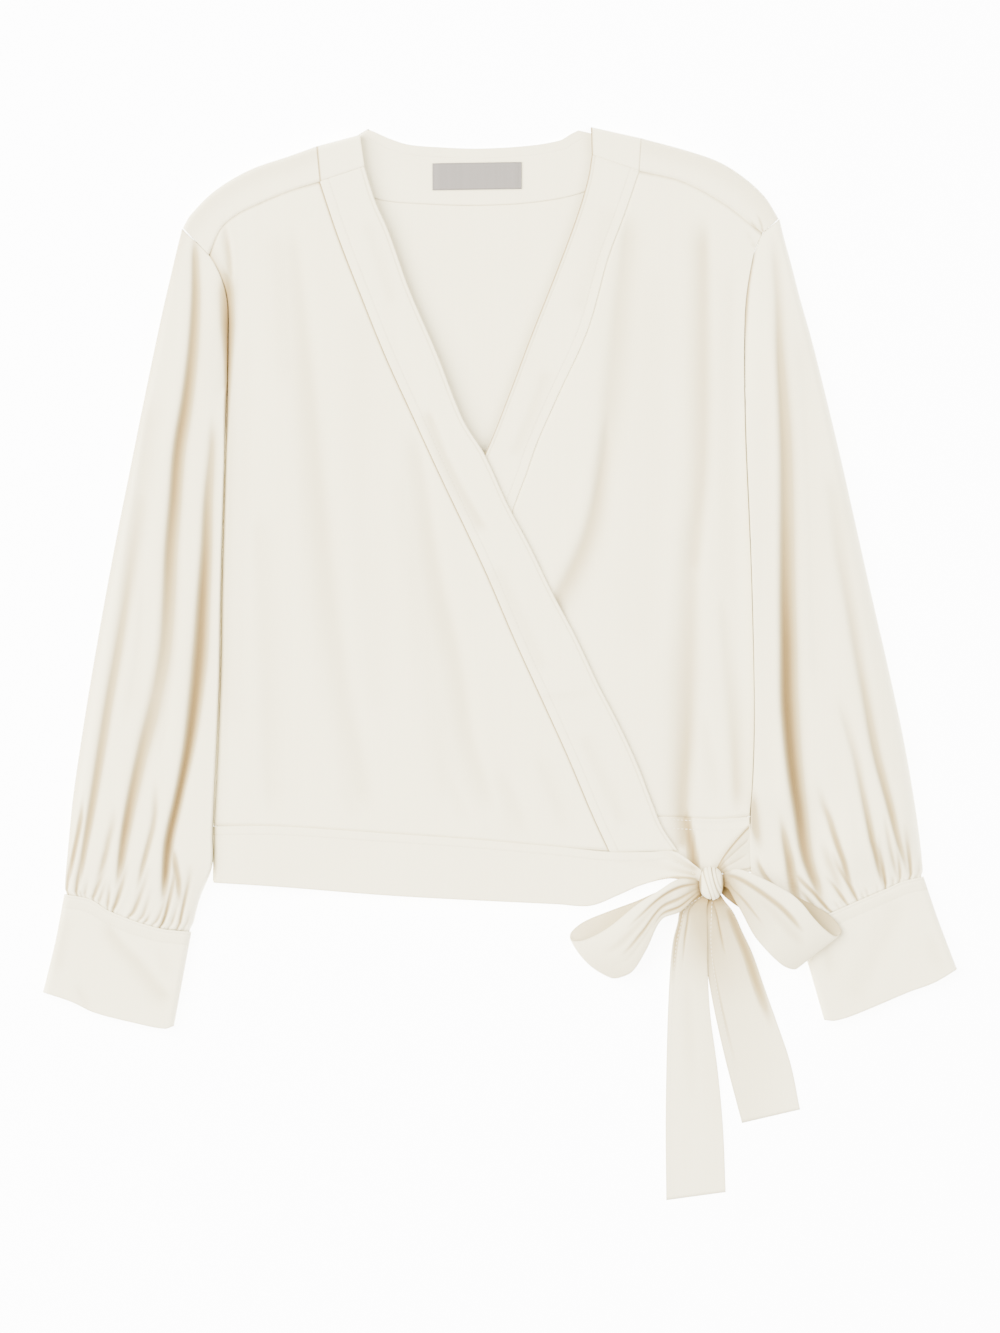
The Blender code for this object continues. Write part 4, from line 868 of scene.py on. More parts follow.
waist_down = spaced(WAISTBAND, 2.6, (0, 1.6, 0.4), (WAIST_STITCH, 1.5, 0.3), (WAISTBAND, 1.2, 0.3))
right_end = Line((WAIST_RIGHT_X, -120.1), (WAIST_RIGHT_X, -162))
right_seam = [*WAIST_SEAM_OVER, (81, -139.1), (110, -139.2), (129, -139)]
right_hem = [(-165, -165), (-75, -172), (43, -178), (67, -179), (88, -171), (104, -164), (124, -159),
             (136, -160)]
right_across = spaced(RIGHT_LONG, 2.6, (0, 8, 0.8), (RIGHT_LONG - INTO_KNOT, INTO_KNOT, 0.8))
right_length = panel(right_end, KNOT_MOUTH, right_across, waist_down, right_seam, right_hem)
add_waistband("waistband_right_crepe", "waistband_right", right_length, tie_top, OVER_FOLDS + TIE_FOLDS,
              RIGHT_SIDE, WAIST_RIGHT_X, [WAIST_STITCH])

left_end = Line((WAIST_LEFT_X, -113.1), (WAIST_LEFT_X + 0.6, -113 - WAISTBAND))
hidden_end = Line((-147, -119.6), (-147, -119.6 - WAISTBAND))
left_across = spaced(LEFT_LONG, 2.8, (LEFT_LONG, 8, 0.8), (LEFT_LONG, 1.5, 0.3))
left_length = panel(hidden_end, left_end, left_across, waist_down,
                    lowered(WAIST_SEAM_UNDER, 0.1), [(0, -158), (118, -154.5), (160, -154.5)])
add_waistband("waistband_left_crepe", "waistband_left", left_length,
              lambda plan: under_top(plan) + WAIST_PROUD, UNDER_FOLDS, LEFT_SIDE, WAIST_LEFT_X,
              [2.2, WAIST_STITCH + 2.4])

back_length = panel(Line((WAIST_RIGHT_X - 0.4, -120.3), (WAIST_RIGHT_X - 0.4, -161)),
                    Line((WAIST_LEFT_X + 0.9, -113.3), (WAIST_LEFT_X + 0.9, -154)),
                    spaced(BEHIND_LONG, 4.0), waist_down)
waist_dent = groove(distances(back_length, row=0), WAIST_STITCH)
waist_lift = 0.35 - 1.3 * waist_dent + 0.1 * ruffle(back_length, 20, 5.0)
waist_back = add_cloth("waistband_back_crepe", with_height(back_length, np.maximum(waist_lift, 0)), flip=True,
                       thick=DOUBLE)
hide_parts("waistband_back")

# --- Sleeves ---
# Full sleeves of single crepe, lying flat with some air inside. Each is one tube from the armhole seam
# down to the cuff, where some sixteen small gathers take its width in.

# A gather's across is its place along the cuff's seam, 0 at the sleeve's outer edge to 1, and drift is how
# far it moves in a centimetre up the sleeve. dark is the shade painted in it.
Gather = namedtuple("Gather", "across long deep dark drift")
# Sections run across a sleeve, from its outer edge to its inner one. hem is its cuff's lower edge, shoulder
# its height at the top. The last two fields give the narrow shade painted along its armhole, where it meets
# the body, and the shade painted along its outer edge.
Sleeve = namedtuple("Sleeve", "name sections hem cuff_outer cuff_inner folds gathers cuff_folds shoulder "
                              "slit edge_dark")
RIGHT_SLEEVE = Sleeve(
    name="right",
    sections=(
        Line((-235.2, 321.3), *ARMHOLE_R.beside(-0.2).points[1:]),
        Line((-239, 306), (-224, 292), (-213, 272), (-210.5, 248), (-210.5, 222), (-208.5, 205),
             (-202.3, 194)),
        Line((-244, 285), (-231, 271), (-221.5, 250), (-218.5, 224), (-216, 203), (-210, 190),
             (-202.7, 183)),
        Line((-250, 259), (-239, 245), (-230, 224), (-226, 200), (-220, 183), (-212, 172), (-203.4, 166)),
        Line((-257, 226), (-246, 211), (-237, 190), (-229, 168), (-218, 154), (-203.9, 144)),
        Line((-265, 187), (-254, 170), (-240, 148), (-224, 128), (-204.8, 115)),
        Line((-274, 142), (-256, 118), (-234, 97), (-205.8, 82)),
        Line((-284, 92), (-250, 60), (-206.7, 40)),
        Line((-294, 38), (-254, 10), (-207.4, -6)),
        Line((-303, -14), (-260, -38), (-209.0, -50)),
        Line((-310, -58), (-266, -78), (-210.9, -90)),
        Line((-316, -100), (-270, -117), (-212.3, -124)),
        Line((-319.5, -136), (-270, -150), (-212.9, -150)),
        Line((-321.5, -158), (-288, -171), (-255, -183), (-222, -174)),
        Line((-322, -170), (-303, -174), (-288, -183), (-254, -195), (-228, -198)),
    ),
    hem=((-317, -250), (-300, -258), (-269, -266), (-248, -270)),
    cuff_outer=Line((-322.2, -170.4), (-329, -206), (-338, -243)),
    cuff_inner=Line((-228.1, -198.4), (-233, -225), (-241, -268)),
    folds=(
        Fold(((-225.8, 325), (-225.5, 300), (-225.4, 269), (-227.5, 232), (-231.9, 195), (-237.9, 158),
              (-240.8, 121), (-243.8, 84), (-245.4, 47), (-248.0, 10), (-254.9, -27), (-264.4, -64),
              (-272.6, -101), (-278.0, -131), (-280.2, -148), (-284, -170)),
             (2.4, 3.2, 3.8, 4.2, 4.2, 4.6, 5.2, 6.0, 4.2, 3.2, 2.0),
             (1.5, 2.4, 3.2, 4.2, 4.2, 3.8, 2.8, 2.2, 3.0, 3.4, 2.6), -0.3,
             (0.25, 0.56, 0.66, 0.80, 0.74, 0.62, 0.42, 0.32, 0.55, 0.84, 0.5)),
        Fold(((-211.8, 190), (-212.8, 158), (-215.7, 121), (-217.2, 84), (-219.5, 47), (-221.7, 10),
              (-225.4, -27), (-230.5, -64), (-238.0, -101), (-244.6, -131), (-247.2, -158), (-249, -182)),
             (3.0, 3.6, 3.8, 4.2, 4.8, 4.0, 3.0, 3.0, 2.0), (0.6, 1.6, 3.4, 5.0, 5.8, 5.8, 5.6, 5.4, 4.0),
             -0.15, (0.12, 0.34, 0.62, 0.88, 0.95, 1.0, 1.0, 1.0, 0.6)),
        Fold(((-262, 145), (-265, 121), (-270.9, 84), (-276.1, 47), (-282.0, 10), (-288.6, -27),
              (-294.5, -64), (-300.5, -101), (-305.6, -131), (-308.0, -145), (-312, -170)),
             (6.0, 6.0, 4.4, 3.8, 3.4, 2.6, 1.5), (0.5, 1.3, 2.0, 2.4, 2.4, 2.2, 1.6), -0.1,
             (0.08, 0.17, 0.26, 0.36, 0.48, 0.60, 0.40)),
        Fold(((-307, -92), (-309.6, -116), (-312.6, -131), (-315.6, -145), (-317.8, -156),
              (-319.6, -170)), (1.6, 1.9, 1.7, 1.4), (1.2, 1.8, 2.2, 1.8), 0.0, (0.2, 0.5, 0.74, 0.6)),
        Fold(((-283.5, -98), (-285.2, -116), (-288.9, -131), (-291.9, -145), (-295.6, -156),
              (-299, -170)), (3.0, 2.6, 2.2, 1.5), (0.6, 1.0, 1.4, 1.2), 0.0, (0.1, 0.22, 0.34, 0.34)),
        Fold(((-253, -80), (-254.1, -101), (-255, -116), (-258.6, -131), (-262.3, -145), (-265.2, -156),
              (-269, -172)), (2.6, 2.4, 1.9, 1.5), (0.6, 1.3, 1.8, 1.4), 0.0, (0.08, 0.25, 0.45, 0.45)),
        Fold(((-243, -126), (-240.2, -145), (-238, -156), (-237.2, -164), (-236.4, -182)),
             (2.4, 2.4, 2.0, 1.6), (0.8, 1.6, 2.0, 1.6), 0.0, (0.15, 0.45, 0.58, 0.5)),
        Fold(((-256, 205), (-262, 150), (-268, 100)), 7.0, 1.0, -0.4, 0.08),
        Fold(((-240, 60), (-242, 10), (-246, -40), (-254, -80)), 5.0, 0.9, 0.4, 0.03),
        Fold(((-262, 70), (-266, 10), (-276, -50)), 6.0, 0.9, -0.4, 0.03),
    ),
    gathers=(
        Gather(0.016, 40, 2.2, 0.45, 0.006), Gather(0.087, 46, 2.2, 0.42, 0.007),
        Gather(0.120, 9, 0.9, 0.28, 0.0), Gather(0.152, 20, 1.1, 0.22, 0.010),
        Gather(0.213, 38, 1.9, 0.40, 0.020), Gather(0.268, 26, 1.1, 0.24, 0.012),
        Gather(0.345, 24, 1.5, 0.36, -0.010), Gather(0.387, 40, 2.4, 0.52, 0.010),
        Gather(0.515, 38, 2.1, 0.40, 0.017), Gather(0.594, 26, 1.3, 0.30, 0.008),
        Gather(0.643, 13, 1.3, 0.36, 0.0), Gather(0.708, 26, 1.5, 0.30, 0.012),
        Gather(0.769, 42, 3.0, 0.55, -0.004), Gather(0.838, 18, 1.3, 0.26, 0.0),
        Gather(0.904, 38, 2.0, 0.48, -0.014), Gather(0.954, 10, 0.9, 0.22, 0.0),
    ),
    cuff_folds=(
        Fold(((-294, -188), (-290.2, -194.2), (-277.9, -210.5), (-265.7, -223.1), (-255.3, -237.2),
              (-240, -253)), (4, 6, 6), 1.0, 0.4, 0.10),
        Fold(((-315, -234), (-308, -247), (-302, -260)), 3.5, 0.6, -0.4, 0.05),
        Fold(((-318, -182), (-322, -206), (-328, -234)), 7.0, 0.5, 0.4, 0.05),
        Fold(((-256, -208), (-248, -220), (-243, -236)), 5.0, 0.4, -0.4, 0.03),
    ),
    shoulder=OVER,
    slit=ARMPIT,
    edge_dark=0.16,
)
LEFT_SLEEVE = Sleeve(
    name="left",
    sections=(
        Line((206.7, 328.5), *ARMHOLE_L.beside(0.2).points[1:]),
        Line((210.6, 313), (199, 300), (192, 280), (190, 252), (190, 222), (187.5, 205), (181.3, 194)),
        Line((215.8, 294), (206, 280), (199.5, 258), (197, 230), (194.5, 206), (189, 193), (181.3, 185)),
        Line((222, 270), (214, 254), (207.5, 232), (204.5, 206), (199, 187), (191, 175), (181.8, 168)),
        Line((231, 238), (222, 220), (214, 196), (206, 173), (196, 157), (182.6, 147)),
        Line((242, 194), (230, 172), (216, 148), (202, 130), (184.1, 115)),
        Line((253, 148), (236, 122), (214, 102), (185.3, 84)),
        Line((264, 99), (232, 68), (186.6, 44)),
        Line((275, 50), (236, 18), (187.6, -2)),
        Line((287, -2), (242, -30), (188.0, -46)),
        Line((297, -48), (246, -72), (186.9, -84)),
        Line((304, -86), (250, -106), (184.9, -114)),
        Line((309, -118), (256, -138), (185.5, -155.5)),
        Line((312, -143), (276, -156), (240, -170), (206, -178.5)),
        Line((313, -157), (297, -161), (286, -166), (265, -175), (247, -183), (218, -194)),
    ),
    hem=((321, -236), (302, -243), (264, -259), (248, -264)),
    cuff_outer=Line((313.2, -157.4), (324, -189), (338, -226)),
    cuff_inner=Line((218.2, -194.4), (227, -220), (239.6, -263.5)),
    folds=(
        Fold(((202.5, 320), (203.4, 300), (205.5, 269), (206.4, 232), (208.6, 195), (210.4, 158),
              (210.9, 121), (210.9, 84), (211.0, 47), (211.5, 10), (212.0, -27), (214.6, -64),
              (217.6, -90), (221.0, -112), (223.6, -131), (226.4, -145), (231, -158), (236, -170),
              (240, -184)),
             (3.2, 3.6, 4.4, 5.2, 5.4, 5.2, 5.2, 5.4, 4.8, 4.0, 2.2),
             (0.8, 1.6, 2.6, 3.6, 4.4, 5.6, 7.0, 8.0, 7.4, 5.4, 2.6), -0.35,
             (0.05, 0.18, 0.32, 0.40, 0.46, 0.64, 0.92, 1.0, 0.98, 0.84, 0.42)),
        Fold(((206, -104), (210.6, -131), (213.4, -145), (214.9, -156), (216.0, -164), (219, -174),
              (223, -188)),
             (2.4, 2.6, 3.0, 3.2, 2.2), (1.0, 2.0, 3.0, 3.0, 2.2), -0.2, (0.12, 0.36, 0.70, 0.72, 0.55)),
        Fold(((240, 150), (246.5, 121), (251, 84), (257.6, 47), (263.6, 10), (270.2, -27), (276.9, -64),
              (283.5, -90), (286.5, -101), (290.2, -116), (293.9, -131), (298.3, -145), (303, -162)),
             (6.0, 6.0, 4.6, 4.0, 3.6, 2.6, 1.6), (0.6, 1.2, 1.8, 2.2, 2.6, 2.4, 1.4), -0.25,
             (0.04, 0.09, 0.16, 0.22, 0.36, 0.54, 0.25)),
        Fold(((248, -20), (261.3, -64), (266.5, -90), (271.7, -116), (274.6, -131), (278.4, -145),
              (280.6, -156), (285, -170)), (3.6, 3.2, 2.6, 2.2, 1.6), (0.8, 1.6, 2.2, 2.8, 2.2), -0.3,
             (0.05, 0.14, 0.28, 0.58, 0.52)),
        Fold(((283, -104), (287.2, -131), (290.2, -145), (293.1, -156), (296, -168)),
             (1.8, 1.6), 1.3, 0.0, (0.06, 0.16, 0.26, 0.26)),
        Fold(((234, -84), (238, -101), (243.8, -116), (248.2, -131), (253.4, -145), (256.3, -156),
              (263, -178)), (2.8, 2.5, 2.1, 1.8, 1.5), (0.8, 1.6, 2.6, 2.6, 1.8), 0.0,
             (0.08, 0.25, 0.56, 0.60, 0.45)),
        Fold(((236, -126), (242.4, -145), (247.5, -156), (254, -180)), 3.0, 1.2, 0.0, 0.18),
        Fold(((186.6, -88), (187.4, -116), (190.5, -130), (194, -142)), (2.5, 4.0, 3.0), 1.2, -0.2, 0.36),
        Fold(((189, -140), (192, -150), (198, -160), (208, -170)), (1.8, 1.6), 1.2, 0.3, 0.4),
        Fold(((222, 250), (226, 190), (230, 120), (232, 50), (236, -30)), 8.0, 0.9, -0.5, 0.02),
        Fold(((266, 60), (276, 10), (287, -50), (298, -104)), 6.0, 1.0, 0.4, 0.02),
        Fold(((195, 240), (197, 180), (198, 100), (199, 20), (201, -60), (204, -100)),
             7.0, 0.8, 0.4, 0.02),
    ),
    gathers=(
        Gather(0.038, 18, 0.9, 0.14, -0.010), Gather(0.092, 46, 1.9, 0.48, -0.003),
        Gather(0.173, 32, 1.7, 0.36, -0.008), Gather(0.223, 10, 0.9, 0.24, 0.0),
        Gather(0.286, 46, 2.5, 0.64, -0.008), Gather(0.345, 8, 0.6, 0.12, 0.0),
        Gather(0.427, 10, 0.9, 0.20, 0.0), Gather(0.462, 8, 0.8, 0.16, 0.0),
        Gather(0.511, 44, 2.3, 0.54, 0.002), Gather(0.590, 28, 1.9, 0.56, 0.008),
        Gather(0.622, 8, 0.7, 0.18, 0.0), Gather(0.658, 9, 0.8, 0.18, 0.0),
        Gather(0.725, 44, 2.6, 0.66, 0.012), Gather(0.765, 9, 0.9, 0.28, 0.0),
        Gather(0.800, 28, 1.5, 0.38, 0.005), Gather(0.840, 40, 2.4, 0.46, 0.034),
        Gather(0.950, 20, 1.3, 0.24, 0.0),
    ),
    cuff_folds=(
        Fold(((300, -172), (280, -212), (260, -254)), 9.0, 0.7, 0.4, 0.04),
        Fold(((236, -200), (242, -216), (246, -236)), 5.0, 0.5, -0.4, 0.06),
        Fold(((318, -196), (322, -212), (330, -230)), 5.0, 0.4, 0.4, 0.04),
    ),
    shoulder=UNDER,
    slit=Fold(((190.5, 312), (186.0, 296.4), (183.2, 281.6), (181.6, 261.6), (181, 238), (181, 205)),
              (1.4, 2.0, 0.9), 0.8, 0.2, (0.8, 0.6, 0.2, 0.05)),
    edge_dark=0.0,
)
UPPER_COLUMNS = 146   # lines of points across a sleeve's upper cloth
UNDER_COLUMNS = 38    # and across its under cloth
TAIL_TOP = 3.6        # height that a sleeve's inner edge, beside the body, starts from
OUTER_EDGE = 3.2      # height of the outermost points of a sleeve's outer edge
# Tables from the armhole, 0, to the cuff, 1: the height of a sleeve's middle, and how far its edges roll.
SLEEVE_TOP = ((0.0, 9.5), (0.12, 11.5), (0.35, 12.5), (0.6, 13.5), (0.8, 15.5), (0.92, 16.5), (1.0, 9.4))
OUTER_ROUND = ((0.0, 5.0), (0.2, 9.0), (0.6, 12.0), (0.9, 12.0), (1.0, 8.0))
INNER_ROUND = ((0.0, 4.0), (0.15, 1.3), (0.93, 1.3), (1.0, 6.4))
PRESSED = 8.6         # height of the left sleeve's lower inner corner, under the bow's loop
SEAM_EASE = 11.0      # how far from the armhole seam a sleeve rises to its full height
CUFF_MOUTH = 6.9      # height of the gathered cloth where the cuff's edge covers it


def read(table, position):
    """Values of a two-column table at positions, eased between its rows."""
    places, values = (np.array(column) for column in zip(*table))
    index = np.clip(np.searchsorted(places, position) - 1, 0, len(places) - 2)
    share = np.clip((position - places[index]) / (places[index + 1] - places[index]), 0, 1)
    return values[index] + (values[index + 1] - values[index]) * share * share * (3 - 2 * share)


def between_sections(sections, places, across):
    """Plan points at places along a sleeve, counted in its sections, each with fractions across."""
    lines = np.array([line.at(across) for line in sections])
    slopes = np.gradient(lines, axis=0)
    index = np.clip(places.astype(int), 0, len(sections) - 2)
    f = (places - index)[:, None, None]
    return eased(lines[index], lines[index + 1], slopes[index], slopes[index + 1], f)


def gathered(gathers, share, width, climb):
    """Depth of the gathers at a distance up the sleeve from the cuff, and the shade painted in them."""
    up = np.maximum(climb, 0)
    depth = 0.14 * np.sin(share * width * 1.3 + 3 * np.sin(share * 17)) * np.exp(-up / 4.0)
    dark = np.zeros_like(depth)
    for gather in gathers:
        spread = 0.9 + 0.045 * up
        away = np.abs(share - gather.across - 0.1 * gather.drift * up) * width
        fade = np.clip(1 - climb / gather.long, 0, 1) ** 1.2
        depth += gather.deep * fade * np.exp(-(away / spread) ** 2)
        depth -= 0.25 * gather.deep * fade * np.exp(-((away - 2.6 * spread) / (1.3 * spread)) ** 2)
        shade = gather.dark * np.minimum(1, 1.6 * fade) * (0.5 + 0.5 * smooth(0, 6, up))
        dark = np.maximum(dark, shade * np.exp(-(away / (0.95 * spread)) ** 2))
    return depth, dark


def sleeve_heights(sleeve, plan, from_outer, width, t, climb):
    """Heights of the upper cloth of a sleeve, and the shade painted in its creases.

    t runs from 0 at the armhole to 1 at the cuff, and climb is the distance up from the cuff.
    """
    s, from_inner = from_outer / width, width - from_outer
    tail = TAIL_TOP / 2 + TAIL_TOP / 2 * rise(from_inner, 0.8)
    outer_edge = OUTER_EDGE + (sleeve.shoulder / 2 - OUTER_EDGE) * (1 - smooth(0, 0.1, t))
    base = tail + (outer_edge - tail) * (1 - s) ** 2
    dome = read(SLEEVE_TOP, t) * (1 - 0.12 * (2 * s - 1) ** 2)
    if sleeve.name == "left":
        dome += (np.minimum(dome, PRESSED) - dome) * smooth(0.4, 0.62, s) * smooth(0.8, 0.9, t)
    sunk, dark = creases(sleeve.folds, plan)
    drawn, gather_painted_shade = gathered(sleeve.gathers, s, width, climb)
    dome = np.maximum(dome - sunk - drawn + 0.3 * ruffle(plan, 30, 6.0), TAIL_TOP + 0.7)
    rounded = rise(from_outer, read(OUTER_ROUND, t)) * rise(from_inner, read(INNER_ROUND, t))
    height = base + (dome - base) * rounded
    seam = TAIL_TOP + 0.4 + (sleeve.shoulder - 1.2 - TAIL_TOP) * smooth(232, 300, plan[..., 1])
    seam = base + (seam - base) * rise(from_outer, SHOULDER_ROUND) * rise(from_inner, 2.0)
    armhole = sleeve.sections[0].at(np.linspace(0, 1, 60))
    reach = np.linalg.norm(plan[:, :, None] - armhole, axis=-1).min(axis=-1)
    height = seam + (height - seam) * rise(reach, SEAM_EASE)
    covered = CUFF_MOUTH + 12.0 * rise(climb, 16.0)
    slit = creases([sleeve.slit], plan)[1]
    # painted shade along its outer edge and beside its armhole seam
    edges = painted_line_shade(from_outer, sleeve.edge_dark, 4.0) + painted_line_shade(reach, 0.14, 0.7)
    dark = np.maximum.reduce([dark, gather_painted_shade, slit, edges])
    return np.minimum(height, np.maximum(covered, base)), dark


def add_sleeve(sleeve):
    """A sleeve as one tube: the upper cloth across, and the under cloth back."""
    outline = Line(*(line.points[0] for line in sleeve.sections))
    down = spaced(outline.length, 2.5, (0, 14, 1.2), (outline.length, 12, 0.9))
    places = np.interp(down, outline.marks, range(len(sleeve.sections)))
    ease = np.linspace(0, 1, UPPER_COLUMNS)
    upper = ease - 0.04 * np.sin(2 * math.pi * ease)    # closer columns towards both edges
    lower = np.linspace(1, 0, UNDER_COLUMNS + 2)[1:-1]
    across = np.concatenate([upper, lower])
    plan = between_sections(sleeve.sections, places, across)
    climb = (1 - down[:, None]) * outline.length
    middle = (plan[:, :1] + plan[:, len(upper) - 1:len(upper)]) / 2
    plan += (middle - plan) * 0.03 * (1 - smooth(0, 4, climb))[..., None]
    run_on(plan, -1, -2)
    lengths = np.array([section.length for section in sleeve.sections])
    width = np.interp(places, range(len(lengths)), lengths)[:, None]
    from_outer = across * width
    over, under = slice(0, len(upper)), slice(len(upper), None)
    height, dark = np.zeros(plan.shape[:2]), np.zeros(plan.shape[:2])
    height[:, over], dark[:, over] = sleeve_heights(sleeve, plan[:, over], from_outer[:, over],
                                                    width, down[:, None], climb)
    edge = np.minimum(from_outer, width - from_outer)[:, under]
    rim = np.where(across[under] < 0.5, OUTER_EDGE, TAIL_TOP / 2)
    drawn, gather_painted_shade = gathered(sleeve.gathers, 1 - across[under], width, climb * 1.6)
    lift = rim * (1 - rise(edge, 4.0)) + 0.7 * np.maximum(drawn, 0)
    lift += 0.35 * np.maximum(ruffle(plan[:, under], 34, 8.0), 0)
    height[:, under] = np.maximum(lift, (DOUBLE + 0.3) * (1 - smooth(0, 3, climb)))
    dark[:, under] = gather_painted_shade
    piece = add_cloth(f"sleeve_{sleeve.name}_crepe", with_height(plan, height), fold=dark, ring=True,
                      flip=sleeve.name == "left")
    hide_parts(f"sleeve_{sleeve.name}_upper", f"sleeve_{sleeve.name}_under")


# --- Cuffs ---
# Deep cuffs of doubled crepe, flat and slightly open, with two rows of stitches under the gathers.
CUFF_WIDE, CUFF_DEEP = 98.0, 72.0
CUFF_TOP = 8.6                 # height of its upper side
CUFF_ROUND = 5.0               # how far its side edges roll down
CUFF_STITCHES = (1.9, 9.6)     # rows of stitches, in from its seam


def add_cuff(sleeve):
    """A cuff as one tube, open at the hand, below a sleeve."""
    name = "cuff_" + sleeve.name
    seam = lowered([tuple(point) for point in sleeve.sections[-1].points[1:-1]], 0.1)
    across = spaced(CUFF_WIDE, 2.2, (0, 6, 0.8), (CUFF_WIDE, 6, 0.8))
    down = spaced(CUFF_DEEP, 2.2, (0, 1.2, 0.35), (CUFF_STITCHES[0], 1.0, 0.3),
                  (CUFF_STITCHES[1], 1.2, 0.3), (CUFF_DEEP, 1.5, 0.35))
    plan = panel(sleeve.cuff_outer, sleeve.cuff_inner, across, down, seam, sleeve.hem)
    from_seam, from_hem = distances(plan, row=0), distances(plan, row=-1)
    from_outer, from_inner = distances(plan, column=0), distances(plan, column=-1)
    edge = CUFF_TOP * 0.45
    dents = sum(groove(from_seam, place) for place in CUFF_STITCHES)
    waves = 0.7 * pucker(plan, np.abs(from_seam - 5.0) - 4.0, 13.0)
    sunk, dark = creases(sleeve.cuff_folds, plan, ease=14.0)
    height = CUFF_TOP - sunk - dents + waves
    height += 0.12 * ruffle(plan, 25, 12.0) - 0.5 * edge_roll(from_seam) - 1.2 * edge_roll(from_hem)
    height = edge + (height - edge) * rise(from_outer, CUFF_ROUND) * rise(from_inner, CUFF_ROUND)
    corner = np.minimum(from_outer, from_inner)
    lift = edge * (1 - rise(corner, 3.0)) + 0.25 - dents + 0.6 * edge_roll(from_seam) + edge_roll(from_hem)
    # painted shade in its creases and stitch dents, at its side corners and hem, and faintly between its rows
    # of stitches
    dark = dark + 0.3 * dents + painted_line_shade(corner, 0.1, 1.2) + painted_line_shade(from_hem, 0.12, 0.8)
    dark += 0.03 * smooth(3.0, 5.0, from_seam) * smooth(-9.4, -8.6, -from_seam)    # between the rows
    upper, lower = with_height(plan, height), with_height(plan, np.maximum(lift, 0))
    points = np.concatenate([upper, lower[:, -2:0:-1]], axis=1)
    dark = np.concatenate([dark, dark[:, -2:0:-1]], axis=1)
    piece = add_cloth(name + "_crepe", points, fold=dark, ring=True, flip=sleeve.name == "left",
                      thick=DOUBLE)
    turned, turned_from = upper.transpose(1, 0, 2)[4:-4], from_seam.T[4:-4]
    runs = [along(turned, turned_from, place) for place in CUFF_STITCHES]
    finish_band(name, runs)


for sleeve in (RIGHT_SLEEVE, LEFT_SLEEVE):
    add_sleeve(sleeve)
    add_cuff(sleeve)

# --- Belt and bow ---
# The belt's two ends are strips of doubled crepe, 44 mm wide. They meet at the left hip in a bow with two
# loops and two tails, and its knot draws them into small pleats.
TIE_WIDE = 44.0
TIE = 1.0             # two layers of crepe
# A row says where a strip's two edges a and b are, how high it lies, and how far its middle arches up and
# bulges out between them. Rows follow the strip from the knot, the loops' all the way back to it.
StripRow = namedtuple("StripRow", "ax ay bx by z arch bulge", defaults=(0.0,))
LOOP_RIGHT = (
    StripRow(149.6, -162.6, 149.8, -169.8, 12.4, 0.0),
    StripRow(144.0, -159.6, 144.4, -172.4, 16.6, 0.2),
    StripRow(131, -159.2, 133, -183, 17.5, 0.8),
    StripRow(118, -167.0, 119, -189, 18.0, 1.5),
    StripRow(101, -178, 108, -211, 17.0, 2.0),
    StripRow(80, -195, 98, -227, 13.5, 2.0),
    StripRow(63, -204.0, 88, -232, 9.0, 1.0, 2.0),
    StripRow(53, -204.5, 82, -232, 5.0, 0.0, 4.0),
    StripRow(52.5, -199, 83, -230, 1.6, 0.0, 3.0),
    StripRow(62, -191, 92, -221, 0.7, 0.0),
    StripRow(81, -183, 103, -205, 0.7, 0.0),
    StripRow(101, -175.5, 114, -193, 2.4, 0.0),
    StripRow(118, -168, 123, -184, 6.5, 0.0),
    StripRow(132, -163.5, 134, -177, 11.5, 0.0),
    StripRow(149.0, -166.0, 149.2, -169.6, 9.8, 0.0),
)
LOOP_LEFT = (
    StripRow(161.8, -157.4, 162.0, -164.8, 12.4, 0.0),
    StripRow(167.6, -153.4, 168.0, -165.6, 17.4, 0.2),
    StripRow(176, -151.6, 173, -174, 19.0, 0.5),
    StripRow(193, -158.2, 178.5, -184, 21.0, 1.0),
    StripRow(214, -169.5, 187, -200, 21.5, 1.6),
    StripRow(223, -177.5, 196, -211, 21.5, 1.6),
    StripRow(231, -187.5, 203.5, -218.5, 20.5, 1.2),
    StripRow(240, -196.5, 210, -223.5, 18.5, 0.6),
    StripRow(248, -201.5, 217.5, -225.5, 15.0, 0.0),
    StripRow(252, -198, 222, -221.5, 12.0, 0.0),
    StripRow(249, -191.5, 221, -213, 11.2, 0.0),
    StripRow(241, -184, 213, -205, 11.0, 0.0),
    StripRow(223, -174, 203, -196, 11.0, 0.0),
    StripRow(206, -166, 191, -187, 11.2, 0.0),
    StripRow(190, -158.5, 178, -181, 12.0, 0.0),
    StripRow(177, -155.5, 168.6, -174.5, 13.2, 0.0),
    StripRow(161.6, -159.5, 161.2, -167.6, 9.6, 0.0),
)
TAIL_RIGHT = (
    StripRow(150.2, -168.6, 155.0, -170.8, 11.2, 0.0),
    StripRow(144.2, -172.4, 153.6, -174.6, 14.2, 0.0),
    StripRow(133.6, -181.4, 152.6, -180, 13.2, 0.4),
    StripRow(131.0, -192, 152.8, -188, 10.8, 0.8),
    StripRow(127.6, -206, 153.2, -206, 7.0, 0.8),
    StripRow(125.5, -229, 153.6, -228, 3.4, 0.3),
    StripRow(124, -262, 155.8, -261, 1.2, 0.0),
    StripRow(123, -302, 161, -300, 0.7, 0.0),
    StripRow(122.5, -345, 165, -343, 0.7, 0.0),
    StripRow(123, -397.1, 167, -391.1, 0.7, 0.0),
)
